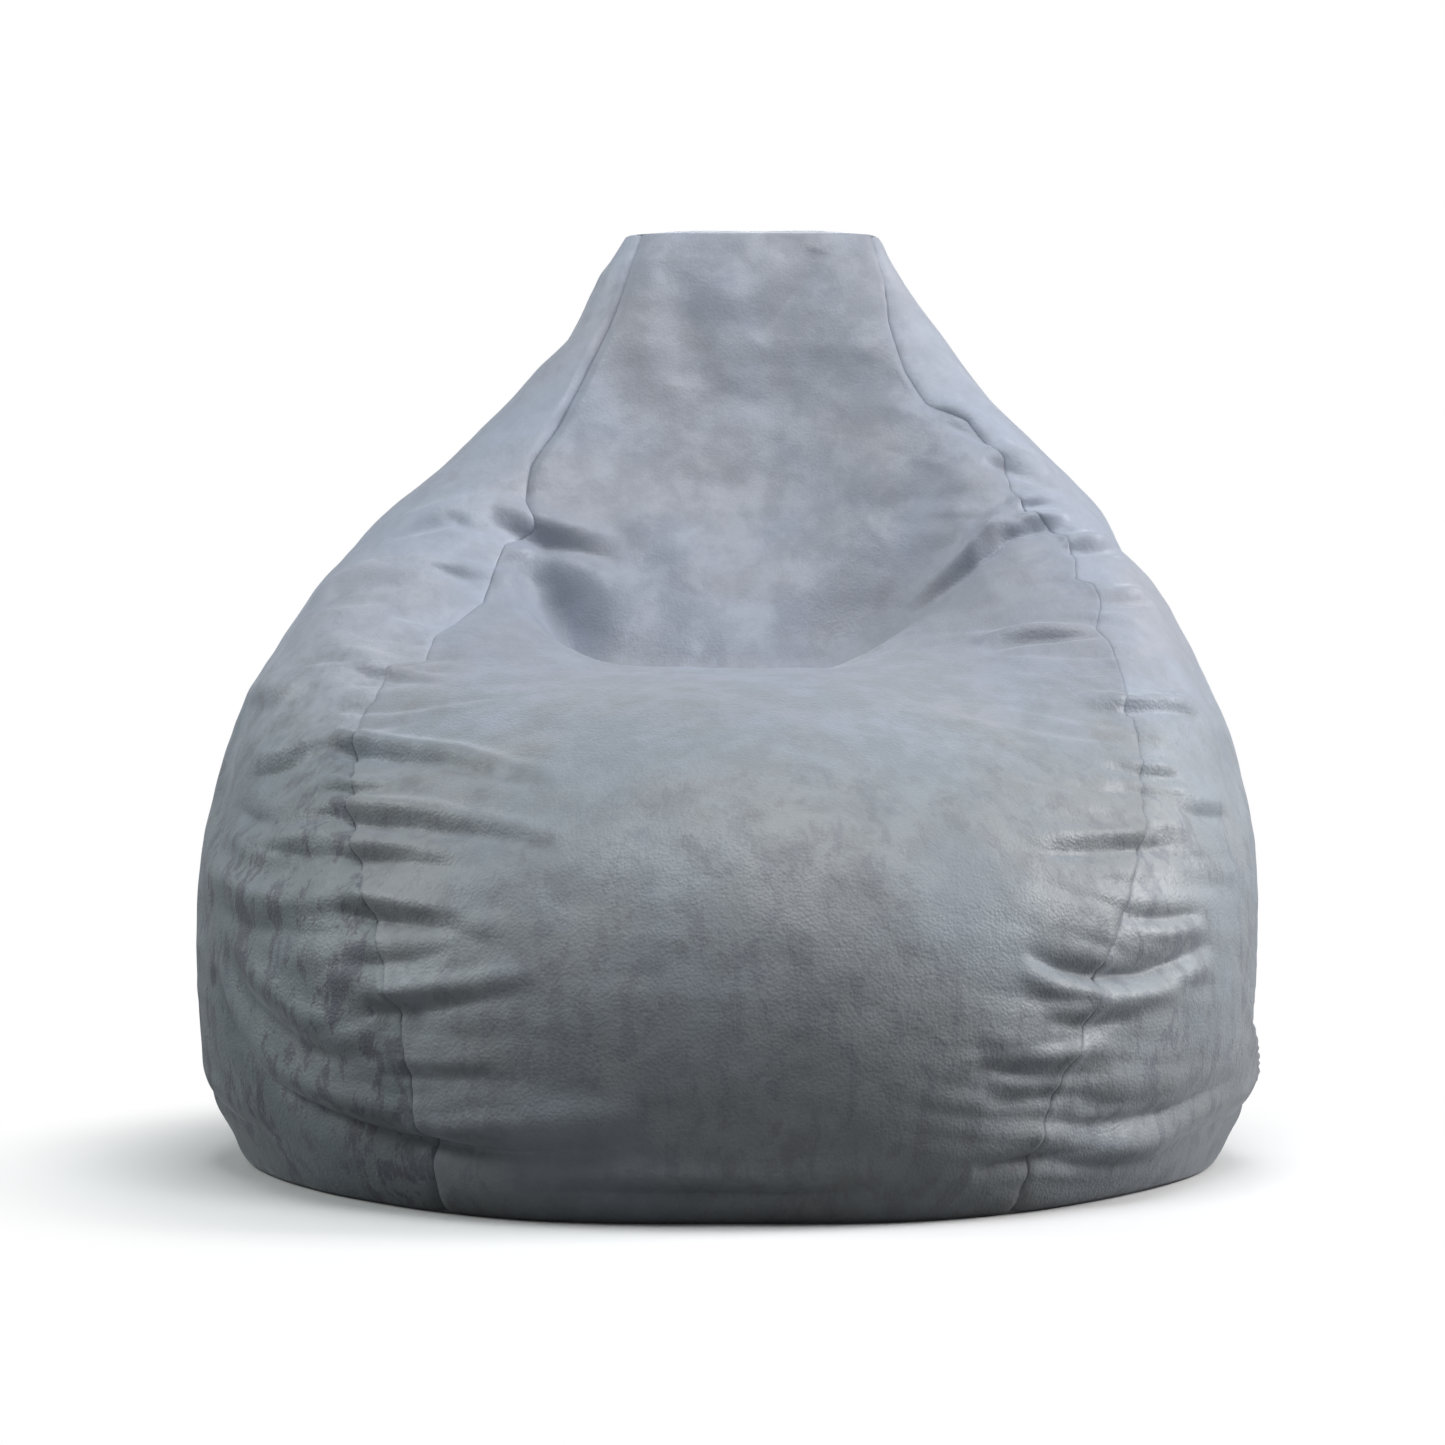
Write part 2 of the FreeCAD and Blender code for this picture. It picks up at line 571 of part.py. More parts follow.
def seam_ribbons(track):
    """Bound seam allowances inside the cover, and the sewing thread outside it."""
    inside = FABRIC + LAYER_GAP
    zip_v0 = v_at_height(U_BACK, ZIP_TOP_HEIGHT + SEAM_END_MARGIN)
    zip_v1 = v_at_height(U_BACK, ZIP_BOTTOM_HEIGHT - SEAM_END_MARGIN)
    uprights = {
        "front_left": (U_FRONT_LEFT, UPRIGHT_V0, 1 - UPRIGHT_V0),
        "front_right": (U_FRONT_RIGHT, UPRIGHT_V0, 1 - UPRIGHT_V0),
        "back_left": (U_BACK_LEFT, UPRIGHT_V0, 1 - UPRIGHT_V0),
        "back_right": (U_BACK_RIGHT, UPRIGHT_V0, 1 - UPRIGHT_V0),
        "centre_back_upper": (U_END, UPRIGHT_V0, zip_v0),
        "centre_back_lower": (U_END, zip_v1, 1 - UPRIGHT_V0),
    }
    thread_depth = -LAYER_GAP - THREAD_THICKNESS
    made = {}
    for name, (u, v0, v1) in uprights.items():
        made["seam_binding_" + name] = strip(u, TAPE_HALF_WIDTH, v0, v1, inside, TAPE_THICKNESS)
        made["seam_thread_" + name] = strip(u, THREAD_HALF_WIDTH, v0, v1, thread_depth, THREAD_THICKNESS)
    for name, v0 in (("top_cap", END_MARGIN_V), ("base", 1 - END_MARGIN_V - HOOP_V)):
        made["seam_binding_" + name] = hoop(v0, v0 + HOOP_V, inside, TAPE_THICKNESS)
    return made


def outer_zip(track):
    """The cover's zip, with its slider and pull."""
    slider = slider_shell(track, slider_start(), ZIP_TAPE_DEPTH).multiFuse(pull_pin_and_lugs(track))
    return {
        "zip_tape_left": zip_tape(track, -1, ZIP_TAPE_DEPTH),
        "zip_tape_right": zip_tape(track, 1, ZIP_TAPE_DEPTH),
        "zip_teeth_left": zip_teeth(track, -1, ZIP_TAPE_DEPTH),
        "zip_teeth_right": zip_teeth(track, 1, ZIP_TAPE_DEPTH),
        "zip_top_stops": zip_stops(track, 0.0, ZIP_TAPE_DEPTH),
        "zip_bottom_stops": zip_stops(track, track.length - STOP_LENGTH, ZIP_TAPE_DEPTH),
        "zip_slider": slider.removeSplitter(),
        "zip_pull_tab": pull_tab(track),
    }


LINER_FOOT_Z = FABRIC + LAYER_GAP + LINER_DEPTH
LINER_TAPE_DEPTH = LINER_WALL + LAYER_GAP


def liner_and_fill():
    """The hollow liner with its own zip, and the beads inside it."""
    track = FlatTrack(LINER_FOOT_Z)
    liner = closed_body(LINER_DEPTH).cut(closed_body(LINER_DEPTH + LINER_WALL))
    slot_half = LINER_ZIP_SLOT_HALF
    slot = track.block(0.0, track.length, -slot_half, slot_half, -LINER_WALL, 2 * LINER_WALL)
    fill_depth = LINER_DEPTH + LINER_WALL + FILL_GAP
    groove_half = ZIP_WEDGE_HALF_GAP + ZIP_TAPE_WIDTH + FILL_GAP
    groove_roof = LINER_TAPE_DEPTH + ZIP_TAPE_THICKNESS + SLIDER_CLEARANCE + SLIDER_PLATE + FILL_GAP
    groove_end = track.length + groove_half
    groove = track.block(-groove_half, groove_end, -groove_half, groove_half, 0.0, groove_roof)
    return {
        "liner_bag": liner.cut(slot),
        "bead_fill": closed_body(fill_depth).cut(groove),
        "liner_zip_tape_front": zip_tape(track, -1, LINER_TAPE_DEPTH),
        "liner_zip_tape_rear": zip_tape(track, 1, LINER_TAPE_DEPTH),
        "liner_zip_teeth_front": zip_teeth(track, -1, LINER_TAPE_DEPTH),
        "liner_zip_teeth_rear": zip_teeth(track, 1, LINER_TAPE_DEPTH),
        "liner_zip_start_stops": zip_stops(track, 0.0, LINER_TAPE_DEPTH),
        "liner_zip_end_stops": zip_stops(track, track.length - STOP_LENGTH, LINER_TAPE_DEPTH),
        "liner_zip_slider": slider_shell(track, slider_start(), LINER_TAPE_DEPTH),
    }


def care_label():
    """A blank satin label caught in the left back seam, lying on the back."""
    width_u = LABEL_WIDTH / along_u(U_BACK_LEFT, 0.8).Length
    per_v = along_v(U_BACK_LEFT, 0.8).Length
    middle = v_at_height(U_BACK_LEFT, LABEL_HEIGHT)
    half = LABEL_LENGTH / 2 / per_v
    depth = -LAYER_GAP - THREAD_THICKNESS - LAYER_GAP - LABEL_THICKNESS
    return panel(U_BACK_LEFT - width_u, U_BACK_LEFT, middle - half, middle + half, depth, LABEL_THICKNESS)


def main():
    """Build every node and write one STEP for each."""
    os.makedirs("parts", exist_ok=True)
    track = BowedTrack()
    nodes = {}
    nodes.update(cover_panels(track))
    nodes.update(seam_ribbons(track))
    nodes.update(outer_zip(track))
    nodes["care_label"] = care_label()
    nodes.update(liner_and_fill())
    for name, shape in nodes.items():
        shape.exportStep("parts/" + name + ".step")
        box = shape.BoundBox
        print("%-32s %d solid(s) valid=%s %9.2f cm3  x %.1f..%.1f y %.1f..%.1f z %.1f..%.1f" % (
            name, len(shape.Solids), shape.isValid(), shape.Volume / 1000,
            box.XMin, box.XMax, box.YMin, box.YMax, box.ZMin, box.ZMax))
    heights = range(int(ZIP_BOTTOM_HEIGHT), int(ZIP_TOP_HEIGHT), 10)
    on_back = [BASE_SHEET.value(U_BACK, v_at_height(U_BACK, h)) for h in heights]
    off_bow = max(abs((point - track.centre).Length - BACK_BOW_RADIUS) for point in on_back)
    travel = slider_travel(track)
    print("skin off the zip's bow: %.2f mm" % off_bow)
    print("slider arc: centre y %.3f z %.3f, travel %.2f mm = %.3f degrees" % (
        track.centre.y, track.centre.z, travel, math.degrees(travel / BACK_BOW_RADIUS)))
    pivot = Part.Vertex(Vector(0, PIVOT_RISE - plate_outside(), 0))
    at = track.place(pivot, pivot_s()).Point
    print("pull pivot: y %.3f z %.3f" % (at.y, at.z))
    print("liner slider travel: %.2f mm" % slider_travel(FlatTrack(LINER_FOOT_Z)))


main()
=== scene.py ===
"""Bean bag chair: the sewn microsuede cover with its zip, and the liner and beads inside it.

Lengths are metres in the part's own frame: +Z up, the floor at Z = 0, and the sitter faces -Y. Every layer
follows one skin, whose u counts pattern lines round the body (0 and 8 the centre back, 4 the centre front,
1, 3, 5 and 7 the seams) and whose v runs from the top cap (0) to the foot (1).
"""
import logging
import math
from dataclasses import dataclass, field
from enum import Enum
from typing import Callable, Optional, Sequence

import bmesh
import bpy
import numpy as np
from mathutils import Matrix, Vector


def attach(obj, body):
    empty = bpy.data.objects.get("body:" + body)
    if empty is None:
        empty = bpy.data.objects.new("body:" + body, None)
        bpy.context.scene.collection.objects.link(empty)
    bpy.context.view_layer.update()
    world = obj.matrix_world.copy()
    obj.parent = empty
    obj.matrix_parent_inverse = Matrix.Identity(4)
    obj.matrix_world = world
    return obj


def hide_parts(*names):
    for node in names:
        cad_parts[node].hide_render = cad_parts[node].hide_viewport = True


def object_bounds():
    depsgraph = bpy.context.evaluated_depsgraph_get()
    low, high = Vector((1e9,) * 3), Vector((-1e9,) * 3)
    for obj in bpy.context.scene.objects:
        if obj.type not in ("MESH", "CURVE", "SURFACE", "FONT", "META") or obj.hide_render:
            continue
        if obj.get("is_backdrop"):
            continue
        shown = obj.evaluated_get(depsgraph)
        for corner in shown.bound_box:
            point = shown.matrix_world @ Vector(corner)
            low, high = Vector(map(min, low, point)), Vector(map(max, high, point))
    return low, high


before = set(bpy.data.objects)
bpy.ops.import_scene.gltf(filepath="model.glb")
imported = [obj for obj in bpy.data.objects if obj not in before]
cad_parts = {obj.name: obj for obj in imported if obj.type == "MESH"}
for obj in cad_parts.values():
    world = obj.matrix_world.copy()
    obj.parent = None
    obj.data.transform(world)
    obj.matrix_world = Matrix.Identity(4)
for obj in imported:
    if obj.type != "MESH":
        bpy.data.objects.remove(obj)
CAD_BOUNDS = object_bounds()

log = logging.getLogger("bean_bag")

MM = 0.001
BAG = "bag"                                   # the body that the cover, liner and beads belong to
CENTRE_BACK, BACK_LEFT, LEFT, FRONT_LEFT = 0.0, 1.0, 2.0, 3.0
FRONT, FRONT_RIGHT, RIGHT, BACK_RIGHT, ROUND = 4.0, 5.0, 6.0, 7.0, 8.0
SEAM_LINES = (CENTRE_BACK, BACK_LEFT, FRONT_LEFT, FRONT_RIGHT, BACK_RIGHT)
DROP = 1.05                                   # metres down the cover from the cap to the foot, about

Array = np.ndarray
Piece = bpy.types.Object
Node = bpy.types.Node
Socket = bpy.types.NodeSocket
Colour = tuple[float, float, float]
Point = tuple[float, float, float]
Place = Callable[[Array, Array], Array]


# ------------------------------------------------------------------------------------------ small tools
class ValueNoise:
    """Smooth seeded noise between -1 and 1 on the plane."""

    def __init__(self, seed: int, period: int = 256) -> None:
        """Draws the lattice.

        Args:
            seed: The random seed, so that each run draws the same lattice.
            period: The lattice's size, past which it repeats.
        """
        self.period = period
        self.lattice = np.random.RandomState(seed).uniform(-1.0, 1.0, (period, period))

    def at(self, x: Array, y: Array) -> Array:
        """Returns the noise at lattice coordinates x and y."""
        column, row = np.floor(x).astype(int), np.floor(y).astype(int)
        fx, fy = x - column, y - row
        fx, fy = fx * fx * (3 - 2 * fx), fy * fy * (3 - 2 * fy)
        corner = lambda i, j: self.lattice[(column + i) % self.period, (row + j) % self.period]
        low = corner(0, 0) * (1 - fx) + corner(1, 0) * fx
        high = corner(0, 1) * (1 - fx) + corner(1, 1) * fx
        return low * (1 - fy) + high * fy


def unit(vectors: Array) -> Array:
    """Returns vectors scaled to length one."""
    return vectors / np.maximum(np.linalg.norm(vectors, axis=-1, keepdims=True), 1e-12)


def smooth_step(low: float, high: float, values: Array) -> Array:
    """Returns 0 below low, 1 above high and a smooth rise between."""
    t = np.clip((values - low) / (high - low), 0.0, 1.0)
    return t * t * (3 - 2 * t)


def blurred(field_values: Array, passes: int) -> Array:
    """Blurs a grid that is closed round its first axis.

    Args:
        field_values: Values with the columns on the first axis and the rows on the second.
        passes: How many times each point is averaged with its neighbours.

    Returns:
        The blurred grid, with its first and last rows kept.
    """
    out = field_values.copy()
    for _ in range(passes):
        out = (np.roll(out, 1, 0) + 2 * out + np.roll(out, -1, 0)) / 4
        middle = (out[:, :-2] + 2 * out[:, 1:-1] + out[:, 2:]) / 4
        out = np.concatenate([out[:, :1], middle, out[:, -1:]], axis=1)
    return out


def catmull_weights(t: Array) -> list[Array]:
    """Returns the four weights of a Catmull-Rom span at t."""
    return [0.5 * (-t + 2 * t**2 - t**3), 0.5 * (2 - 5 * t**2 + 3 * t**3),
            0.5 * (t + 4 * t**2 - 3 * t**3), 0.5 * (-t**2 + t**3)]


def mapped_grid(name: str, columns: int, rows: int, place: Place,
                closed: bool = False, pattern: Optional[tuple[float, float]] = None,
                merge: float = 0.0) -> Piece:
    """Makes a grid and lays it on a surface.

    Args:
        name: The piece's name.
        columns: Faces along the grid's first direction.
        rows: Faces along its second.
        place: Gives the points for the grid's two coordinates, each from 0 to 1.
        closed: Whether the first and last columns are the same line.
        pattern: Size in metres of the flat cut, for the UV map; left out, there is no UV map.
        merge: Distance under which points are merged.

    Returns:
        The object, at the origin, with its place in its mesh.
    """
    bm = bmesh.new()
    bmesh.ops.create_grid(bm, x_segments=columns, y_segments=rows, size=1.0)
    if pattern:
        layer = bm.loops.layers.uv.new("pattern")
        for face in bm.faces:
            for loop in face.loops:
                x, y = loop.vert.co.x, loop.vert.co.y
                loop[layer].uv = ((x + 1) / 2 * pattern[0], (y + 1) / 2 * pattern[1])
    flat = np.array([vert.co[:2] for vert in bm.verts])
    points = place((flat[:, 0] + 1) / 2, (flat[:, 1] + 1) / 2)
    for vert, point in zip(bm.verts, points):
        vert.co = point
    if closed or merge:
        bmesh.ops.remove_doubles(bm, verts=bm.verts, dist=merge or 1e-6)
    return finished_mesh(name, bm)


def finished_mesh(name: str, bm: bmesh.types.BMesh, smooth: bool = True) -> Piece:
    """Turns a bmesh into an object in the scene.

    Args:
        name: The piece's name.
        bm: The mesh, which is freed.
        smooth: Whether its faces are shaded smooth.

    Returns:
        The new object.
    """
    mesh = bpy.data.meshes.new(name)
    bm.to_mesh(mesh)
    bm.free()
    if smooth:
        mesh.shade_smooth()
    piece = bpy.data.objects.new(name, mesh)
    bpy.context.scene.collection.objects.link(piece)
    return piece


def recalculate_normals(piece: Piece, facing: float = 0.0) -> None:
    """Points a closed piece's faces outwards.

    Args:
        piece: The piece.
        facing: 1 where an open piece's faces point up instead, and -1 where they point down.
    """
    bm = bmesh.new()
    bm.from_mesh(piece.data)
    bmesh.ops.recalc_face_normals(bm, faces=bm.faces)
    if facing * sum(face.normal.z * face.calc_area() for face in bm.faces) < 0:
        bmesh.ops.reverse_faces(bm, faces=bm.faces)
    bm.to_mesh(piece.data)
    bm.free()


def thicken(piece: Piece, thickness: float) -> None:
    """Gives a sheet its thickness, inwards."""
    wall = piece.modifiers.new("thickness", "SOLIDIFY")
    wall.thickness = thickness
    wall.offset = -1.0
    wall.use_rim = True


# ------------------------------------------------------------------------------------------ the skin
# Each station is one line round the body. x is a share of half the width, y of the front or back reach
# (negative is forward) and z of the height, for the centre front, front seam, side, back seam and centre
# back. They are the design's own stations.
STATIONS = (
    ((0.350, 0.908), (0.292, 0.344, 0.908), (0.352, 0.500, 0.916), (0.286, 0.680, 0.906), (0.697, 0.902)),
    ((0.308, 0.814), (0.382, 0.272, 0.816), (0.494, 0.472, 0.822), (0.395, 0.730, 0.797), (0.771, 0.791)),
    ((0.250, 0.717), (0.490, 0.176, 0.729), (0.646, 0.420, 0.727), (0.508, 0.768, 0.690), (0.847, 0.680)),
    ((0.155, 0.623), (0.588, 0.058, 0.643), (0.764, 0.340, 0.641), (0.594, 0.800, 0.584), (0.919, 0.568)),
    ((-0.005, 0.536), (0.668, -0.105, 0.563), (0.852, 0.232, 0.554), (0.652, 0.812, 0.479), (0.967, 0.458)),
    ((-0.265, 0.505), (0.706, -0.300, 0.483), (0.920, 0.140, 0.469), (0.686, 0.806, 0.380), (0.992, 0.354)),
    ((-0.570, 0.468), (0.704, -0.490, 0.401), (0.968, 0.068, 0.376), (0.694, 0.780, 0.282), (1.000, 0.257)),
    ((-0.845, 0.376), (0.672, -0.668, 0.315), (0.995, 0.020, 0.276), (0.680, 0.748, 0.192), (0.993, 0.170)),
    ((-0.990, 0.243), (0.622, -0.782, 0.215), (0.998, 0.000, 0.173), (0.650, 0.730, 0.114), (0.977, 0.099)),
    ((-0.985, 0.106), (0.560, -0.812, 0.097), (0.972, 0.000, 0.078), (0.608, 0.716, 0.050), (0.955, 0.045)),
)
FOOT = ((-0.895,), (0.480, -0.766), (0.912, 0.000), (0.552, 0.690), (0.912,))
CAP = ((-0.5,), (0.485, -0.46), (0.53, 0.0), (0.47, 0.46), (0.5,))


@dataclass
class Skin:
    """The smooth surface that the design's layers follow, as a cubic B-spline sheet."""

    width: float = 0.944
    front_reach: float = 0.4645
    back_reach: float = 0.466
    height: float = 0.855
    cap_width: float = 0.224
    cap_depth: float = 0.112
    cap_centre: float = 0.240
    cap_tilt: float = 0.055
    lean: float = 0.021
    fullest_height: float = 0.225
    bow_radius: float = 0.900
    bow_top: float = 0.580          # the back follows the zip's bow up to here
    foot_height: float = 0.002
    poles: Array = field(init=False)

    def __post_init__(self) -> None:
        """Works out the sheet's poles from its stations."""
        rings = np.array([self._cap()] + [self._ring(s) for s in STATIONS] + [self._foot()])
        count = len(rings)
        at = np.arange(count) / (count - 1)
        inner = [at[j:j + 3].mean() for j in range(1, count - 3)]
        self.knots = np.array([0.0] * 4 + inner + [1.0] * 4)
        down = self._v_weights(at)
        step = np.eye(8) * 4 / 6 + (np.roll(np.eye(8), 1, 0) + np.roll(np.eye(8), -1, 0)) / 6
        rows = np.linalg.solve(down, rings.reshape(count, -1)).reshape(rings.shape)
        self.poles = np.einsum("ij,rjk->rik", np.linalg.inv(step), rows)

    def _along_y(self, share: float) -> float:
        """A share of the front or back reach as a Y."""
        return share * (self.front_reach if share < 0 else self.back_reach)

    def lean_at(self, z: float) -> float:
        """How far the top's slump moves a point at a height sideways."""
        return self.lean * max(0.0, (z / self.height - 0.45) / 0.55)

    def _whole_ring(self, half: Sequence[Point],
                    lean: Callable[[float], float]) -> list[Point]:
        """Mirrors the right half of a ring, in the order of u.

        Args:
            half: The centre front, front seam, side, back seam and centre back.
            lean: The sideways place of the mirror plane at a height.

        Returns:
            Eight points.
        """
        front, seam, side, rear, back = half
        left = [(2 * lean(p[2]) - p[0], p[1], p[2]) for p in (rear, side, seam)]
        return [back, *left, front, seam, side, rear]

    def _ring(self, station: Sequence[Sequence[float]]) -> list[Point]:
        """Returns one station's eight points."""
        def point(x: float, y: float, z: float) -> Point:
            return (x * self.width / 2 + self.lean_at(z * self.height), self._along_y(y), z * self.height)

        (front_y, front_z), seam, side, rear, (back_y, back_z) = station
        back = point(0, back_y, back_z)
        if back[2] <= self.bow_top:
            back = (back[0], self.bow_y(back[2]), back[2])
        half = (point(0, front_y, front_z), point(*seam), point(*side), point(*rear), back)
        return self._whole_ring(half, self.lean_at)

    def bow_y(self, height: float) -> float:
        """Y of the centre back on the zip's bow."""
        rise = height - self.fullest_height
        return self.back_reach - self.bow_radius + math.sqrt(self.bow_radius**2 - rise**2)

    def _cap(self) -> list[Point]:
        """Returns the cap's edge, on its tilted plane."""
        def point(x: float, y: float) -> Point:
            drop = self.cap_tilt * (y * self.cap_depth + self.cap_depth / 2)
            return (self.lean + x * self.cap_width, self.cap_centre + y * self.cap_depth, self.height - drop)

        (front,), seam, side, rear, (back,) = CAP
        half = (point(0, front), point(*seam), point(*side), point(*rear), point(0, back))
        return self._whole_ring(half, lambda z: self.lean)

    def _foot(self) -> list[Point]:
        """Returns the foot's edge, just off the floor."""
        def point(x: float, y: float) -> Point:
            return (x * self.width / 2, self._along_y(y), self.foot_height)

        (front,), seam, side, rear, (back,) = FOOT
        half = (point(0, front), point(*seam), point(*side), point(*rear), point(0, back))
        return self._whole_ring(half, lambda z: 0.0)

    def _v_weights(self, v: Array) -> Array:
        """Returns the clamped cubic basis at each v."""
        count = len(self.knots) - 4
        t = np.clip(v, 0.0, 1.0 - 1e-12)[:, None]
        knots = self.knots
        weights = ((knots[:-1] <= t) & (t < knots[1:])).astype(float)
        for degree in (1, 2, 3):
            rise, fall = knots[degree:-1] - knots[:-degree - 1], knots[degree + 1:] - knots[1:-degree]
            up = np.where(rise > 0, (t - knots[:-degree - 1]) / np.where(rise > 0, rise, 1), 0)
            down = np.where(fall > 0, (knots[degree + 1:] - t) / np.where(fall > 0, fall, 1), 0)
            weights = up * weights[:, :-1] + down * weights[:, 1:]
        return weights[:, :count]

    def at(self, u: Array, v: Array) -> Array:
        """Returns the skin's points at paired u and v."""
        column = np.floor(u).astype(int)
        t = u - column
        weights = ((1 - t)**3, 3 * t**3 - 6 * t**2 + 4, -3 * t**3 + 3 * t**2 + 3 * t + 1, t**3)
        down = self._v_weights(v)
        total = np.zeros((len(u), 3))
        for step, weight in zip((-1, 0, 1, 2), weights):
            poles = self.poles[:, (column + step) % 8]
            total += (weight / 6)[:, None] * np.einsum("nr,rnk->nk", down, poles)
        return total


# ------------------------------------------------------------------------------------------ folds
class Ends(Enum):
    """How a fold's depth runs along it."""

    BOTH = "both"            # dies away at both ends
    START = "start"          # starts at a seam and dies away


@dataclass(frozen=True)
class Fold:
    """One fold pressed into the cloth along a line.

    points are (u, v) on the skin. Where they are listed in the order of u, a positive ridge stands on the
    cap's side of the line and a negative one on the foot's. depth, width and ridge are millimetres.
    """

    points: tuple[tuple[float, float], ...]
    depth: float
    width: float
    ridge: float = 0.0
    ends: Ends = Ends.BOTH


SEAT = (
    Fold(((3.34, 0.384), (3.54, 0.404), (3.72, 0.446), (3.85, 0.476), (4.00, 0.488), (4.12, 0.470),
          (4.27, 0.426), (4.46, 0.392), (4.70, 0.376)), 39, 49),
    Fold(((3.40, 0.402), (3.58, 0.426), (3.72, 0.470), (3.83, 0.508), (3.98, 0.522), (4.09, 0.508),
          (4.21, 0.462), (4.38, 0.422), (4.58, 0.402)), 17, 15, -6),
)
FRONT_LEFT_PUCKERS = (
    Fold(((3.03, 0.517), (3.16, 0.526), (3.32, 0.543)), 5.5, 5.9, 5.8, Ends.START),
    Fold(((3.01, 0.604), (3.16, 0.622), (3.34, 0.649), (3.48, 0.681), (3.60, 0.700)),
         12.3, 8.6, 10.1, Ends.START),
    Fold(((3.01, 0.652), (3.14, 0.660), (3.30, 0.672)), 4.8, 5.9, 4.4, Ends.START),
    Fold(((3.01, 0.677), (3.22, 0.700), (3.41, 0.724), (3.60, 0.748)), 11, 8.6, 10.1, Ends.START),
    Fold(((3.01, 0.714), (3.20, 0.730), (3.38, 0.750)), 8.3, 7.9, 7.1, Ends.START),
    Fold(((3.01, 0.765), (3.24, 0.784), (3.44, 0.806)), 6.2, 8.6, 7.1, Ends.START),
    Fold(((3.01, 0.842), (3.26, 0.838), (3.52, 0.832)), 6.2, 8.6, 10.1, Ends.START),
    Fold(((3.02, 0.884), (3.20, 0.886), (3.36, 0.882)), 3.4, 6.6, 4.4, Ends.START),
)
LEFT_SIDE_PUCKERS = (
    Fold(((2.52, 0.622), (2.76, 0.618), (2.99, 0.606)), 5.9, 12.3, 5.9),
    Fold(((2.46, 0.650), (2.72, 0.672), (2.99, 0.681)), 5.9, 12.3, -5.9),
    Fold(((2.62, 0.690), (2.86, 0.706), (2.99, 0.716)), 4.8, 9.9, 4),
    Fold(((2.86, 0.503), (3.01, 0.507), (3.13, 0.511)), 3.6, 7.5, 3),
    Fold(((2.40, 0.744), (2.66, 0.772), (2.99, 0.782)), 4.2, 14.9, 5),
    Fold(((2.30, 0.452), (2.62, 0.436), (2.96, 0.400)), 4.2, 16.5, 5),
    Fold(((2.20, 0.548), (2.55, 0.556), (2.90, 0.552)), 3.6, 14.1, 4),
)
FOOT_FOLDS = (
    Fold(((2.38, 0.800), (2.46, 0.855), (2.60, 0.902), (2.81, 0.924), (2.98, 0.936), (3.18, 0.942),
          (3.46, 0.939), (3.76, 0.934)), 18, 15, 9),
    Fold(((2.46, 0.782), (2.60, 0.832), (2.78, 0.866), (2.98, 0.882)), 8, 14, 6),
    Fold(((3.36, 0.968), (3.70, 0.972), (4.10, 0.974), (4.55, 0.968)), 6, 10, 4),
    Fold(((4.92, 0.919), (5.10, 0.920), (5.33, 0.916), (5.60, 0.894)), 12, 12, -6),
    Fold(((4.72, 0.900), (4.86, 0.902), (5.00, 0.900)), 6, 9, 4),
    Fold(((4.76, 0.952), (4.94, 0.947), (5.16, 0.936)), 8, 11, 5),
    Fold(((4.66, 0.876), (4.88, 0.885), (5.10, 0.883)), 7, 11, 5),
    Fold(((2.02, 0.905), (2.30, 0.930), (2.60, 0.950)), 4, 12, 3),
    Fold(((5.50, 0.945), (5.80, 0.930), (6.15, 0.905)), 4, 12, 3),
)
FRONT_RIGHT_PUCKERS = (
    Fold(((4.45, 0.410), (4.65, 0.382), (4.86, 0.350), (5.02, 0.343), (5.22, 0.347)), 11.6, 9, 11.2),
    Fold(((4.80, 0.352), (4.92, 0.331), (5.05, 0.318), (5.26, 0.318)), 4.9, 6.3, 5.1),
    Fold(((5.06, 0.372), (5.28, 0.374), (5.52, 0.378)), 6.7, 8.3, 8.2),
    Fold(((5.02, 0.436), (5.22, 0.438), (5.44, 0.440)), 6.7, 9, 7.1),
    Fold(((4.60, 0.488), (4.73, 0.476), (4.97, 0.472)), 6.7, 8.3, 6.1),
    Fold(((4.80, 0.568), (4.99, 0.562), (5.24, 0.561), (5.44, 0.566)), 5.5, 8.3, 5.1),
    Fold(((4.86, 0.632), (5.04, 0.630), (5.22, 0.634)), 3, 6.9, 3.1),
    Fold(((4.70, 0.732), (4.88, 0.716), (5.08, 0.700), (5.24, 0.694)), 5.5, 9, 5.1),
    Fold(((5.00, 0.766), (5.14, 0.766), (5.30, 0.758)), 4.9, 6.9, -4.1),
    Fold(((4.74, 0.802), (4.86, 0.811), (5.00, 0.815), (5.14, 0.811), (5.36, 0.782)), 12.2, 9, -9.2),
    Fold(((4.84, 0.848), (4.98, 0.850), (5.14, 0.846)), 4.9, 6.9, 4.1),
    Fold(((5.10, 0.660), (5.30, 0.664), (5.52, 0.662)), 4.3, 9, 4.1),
)
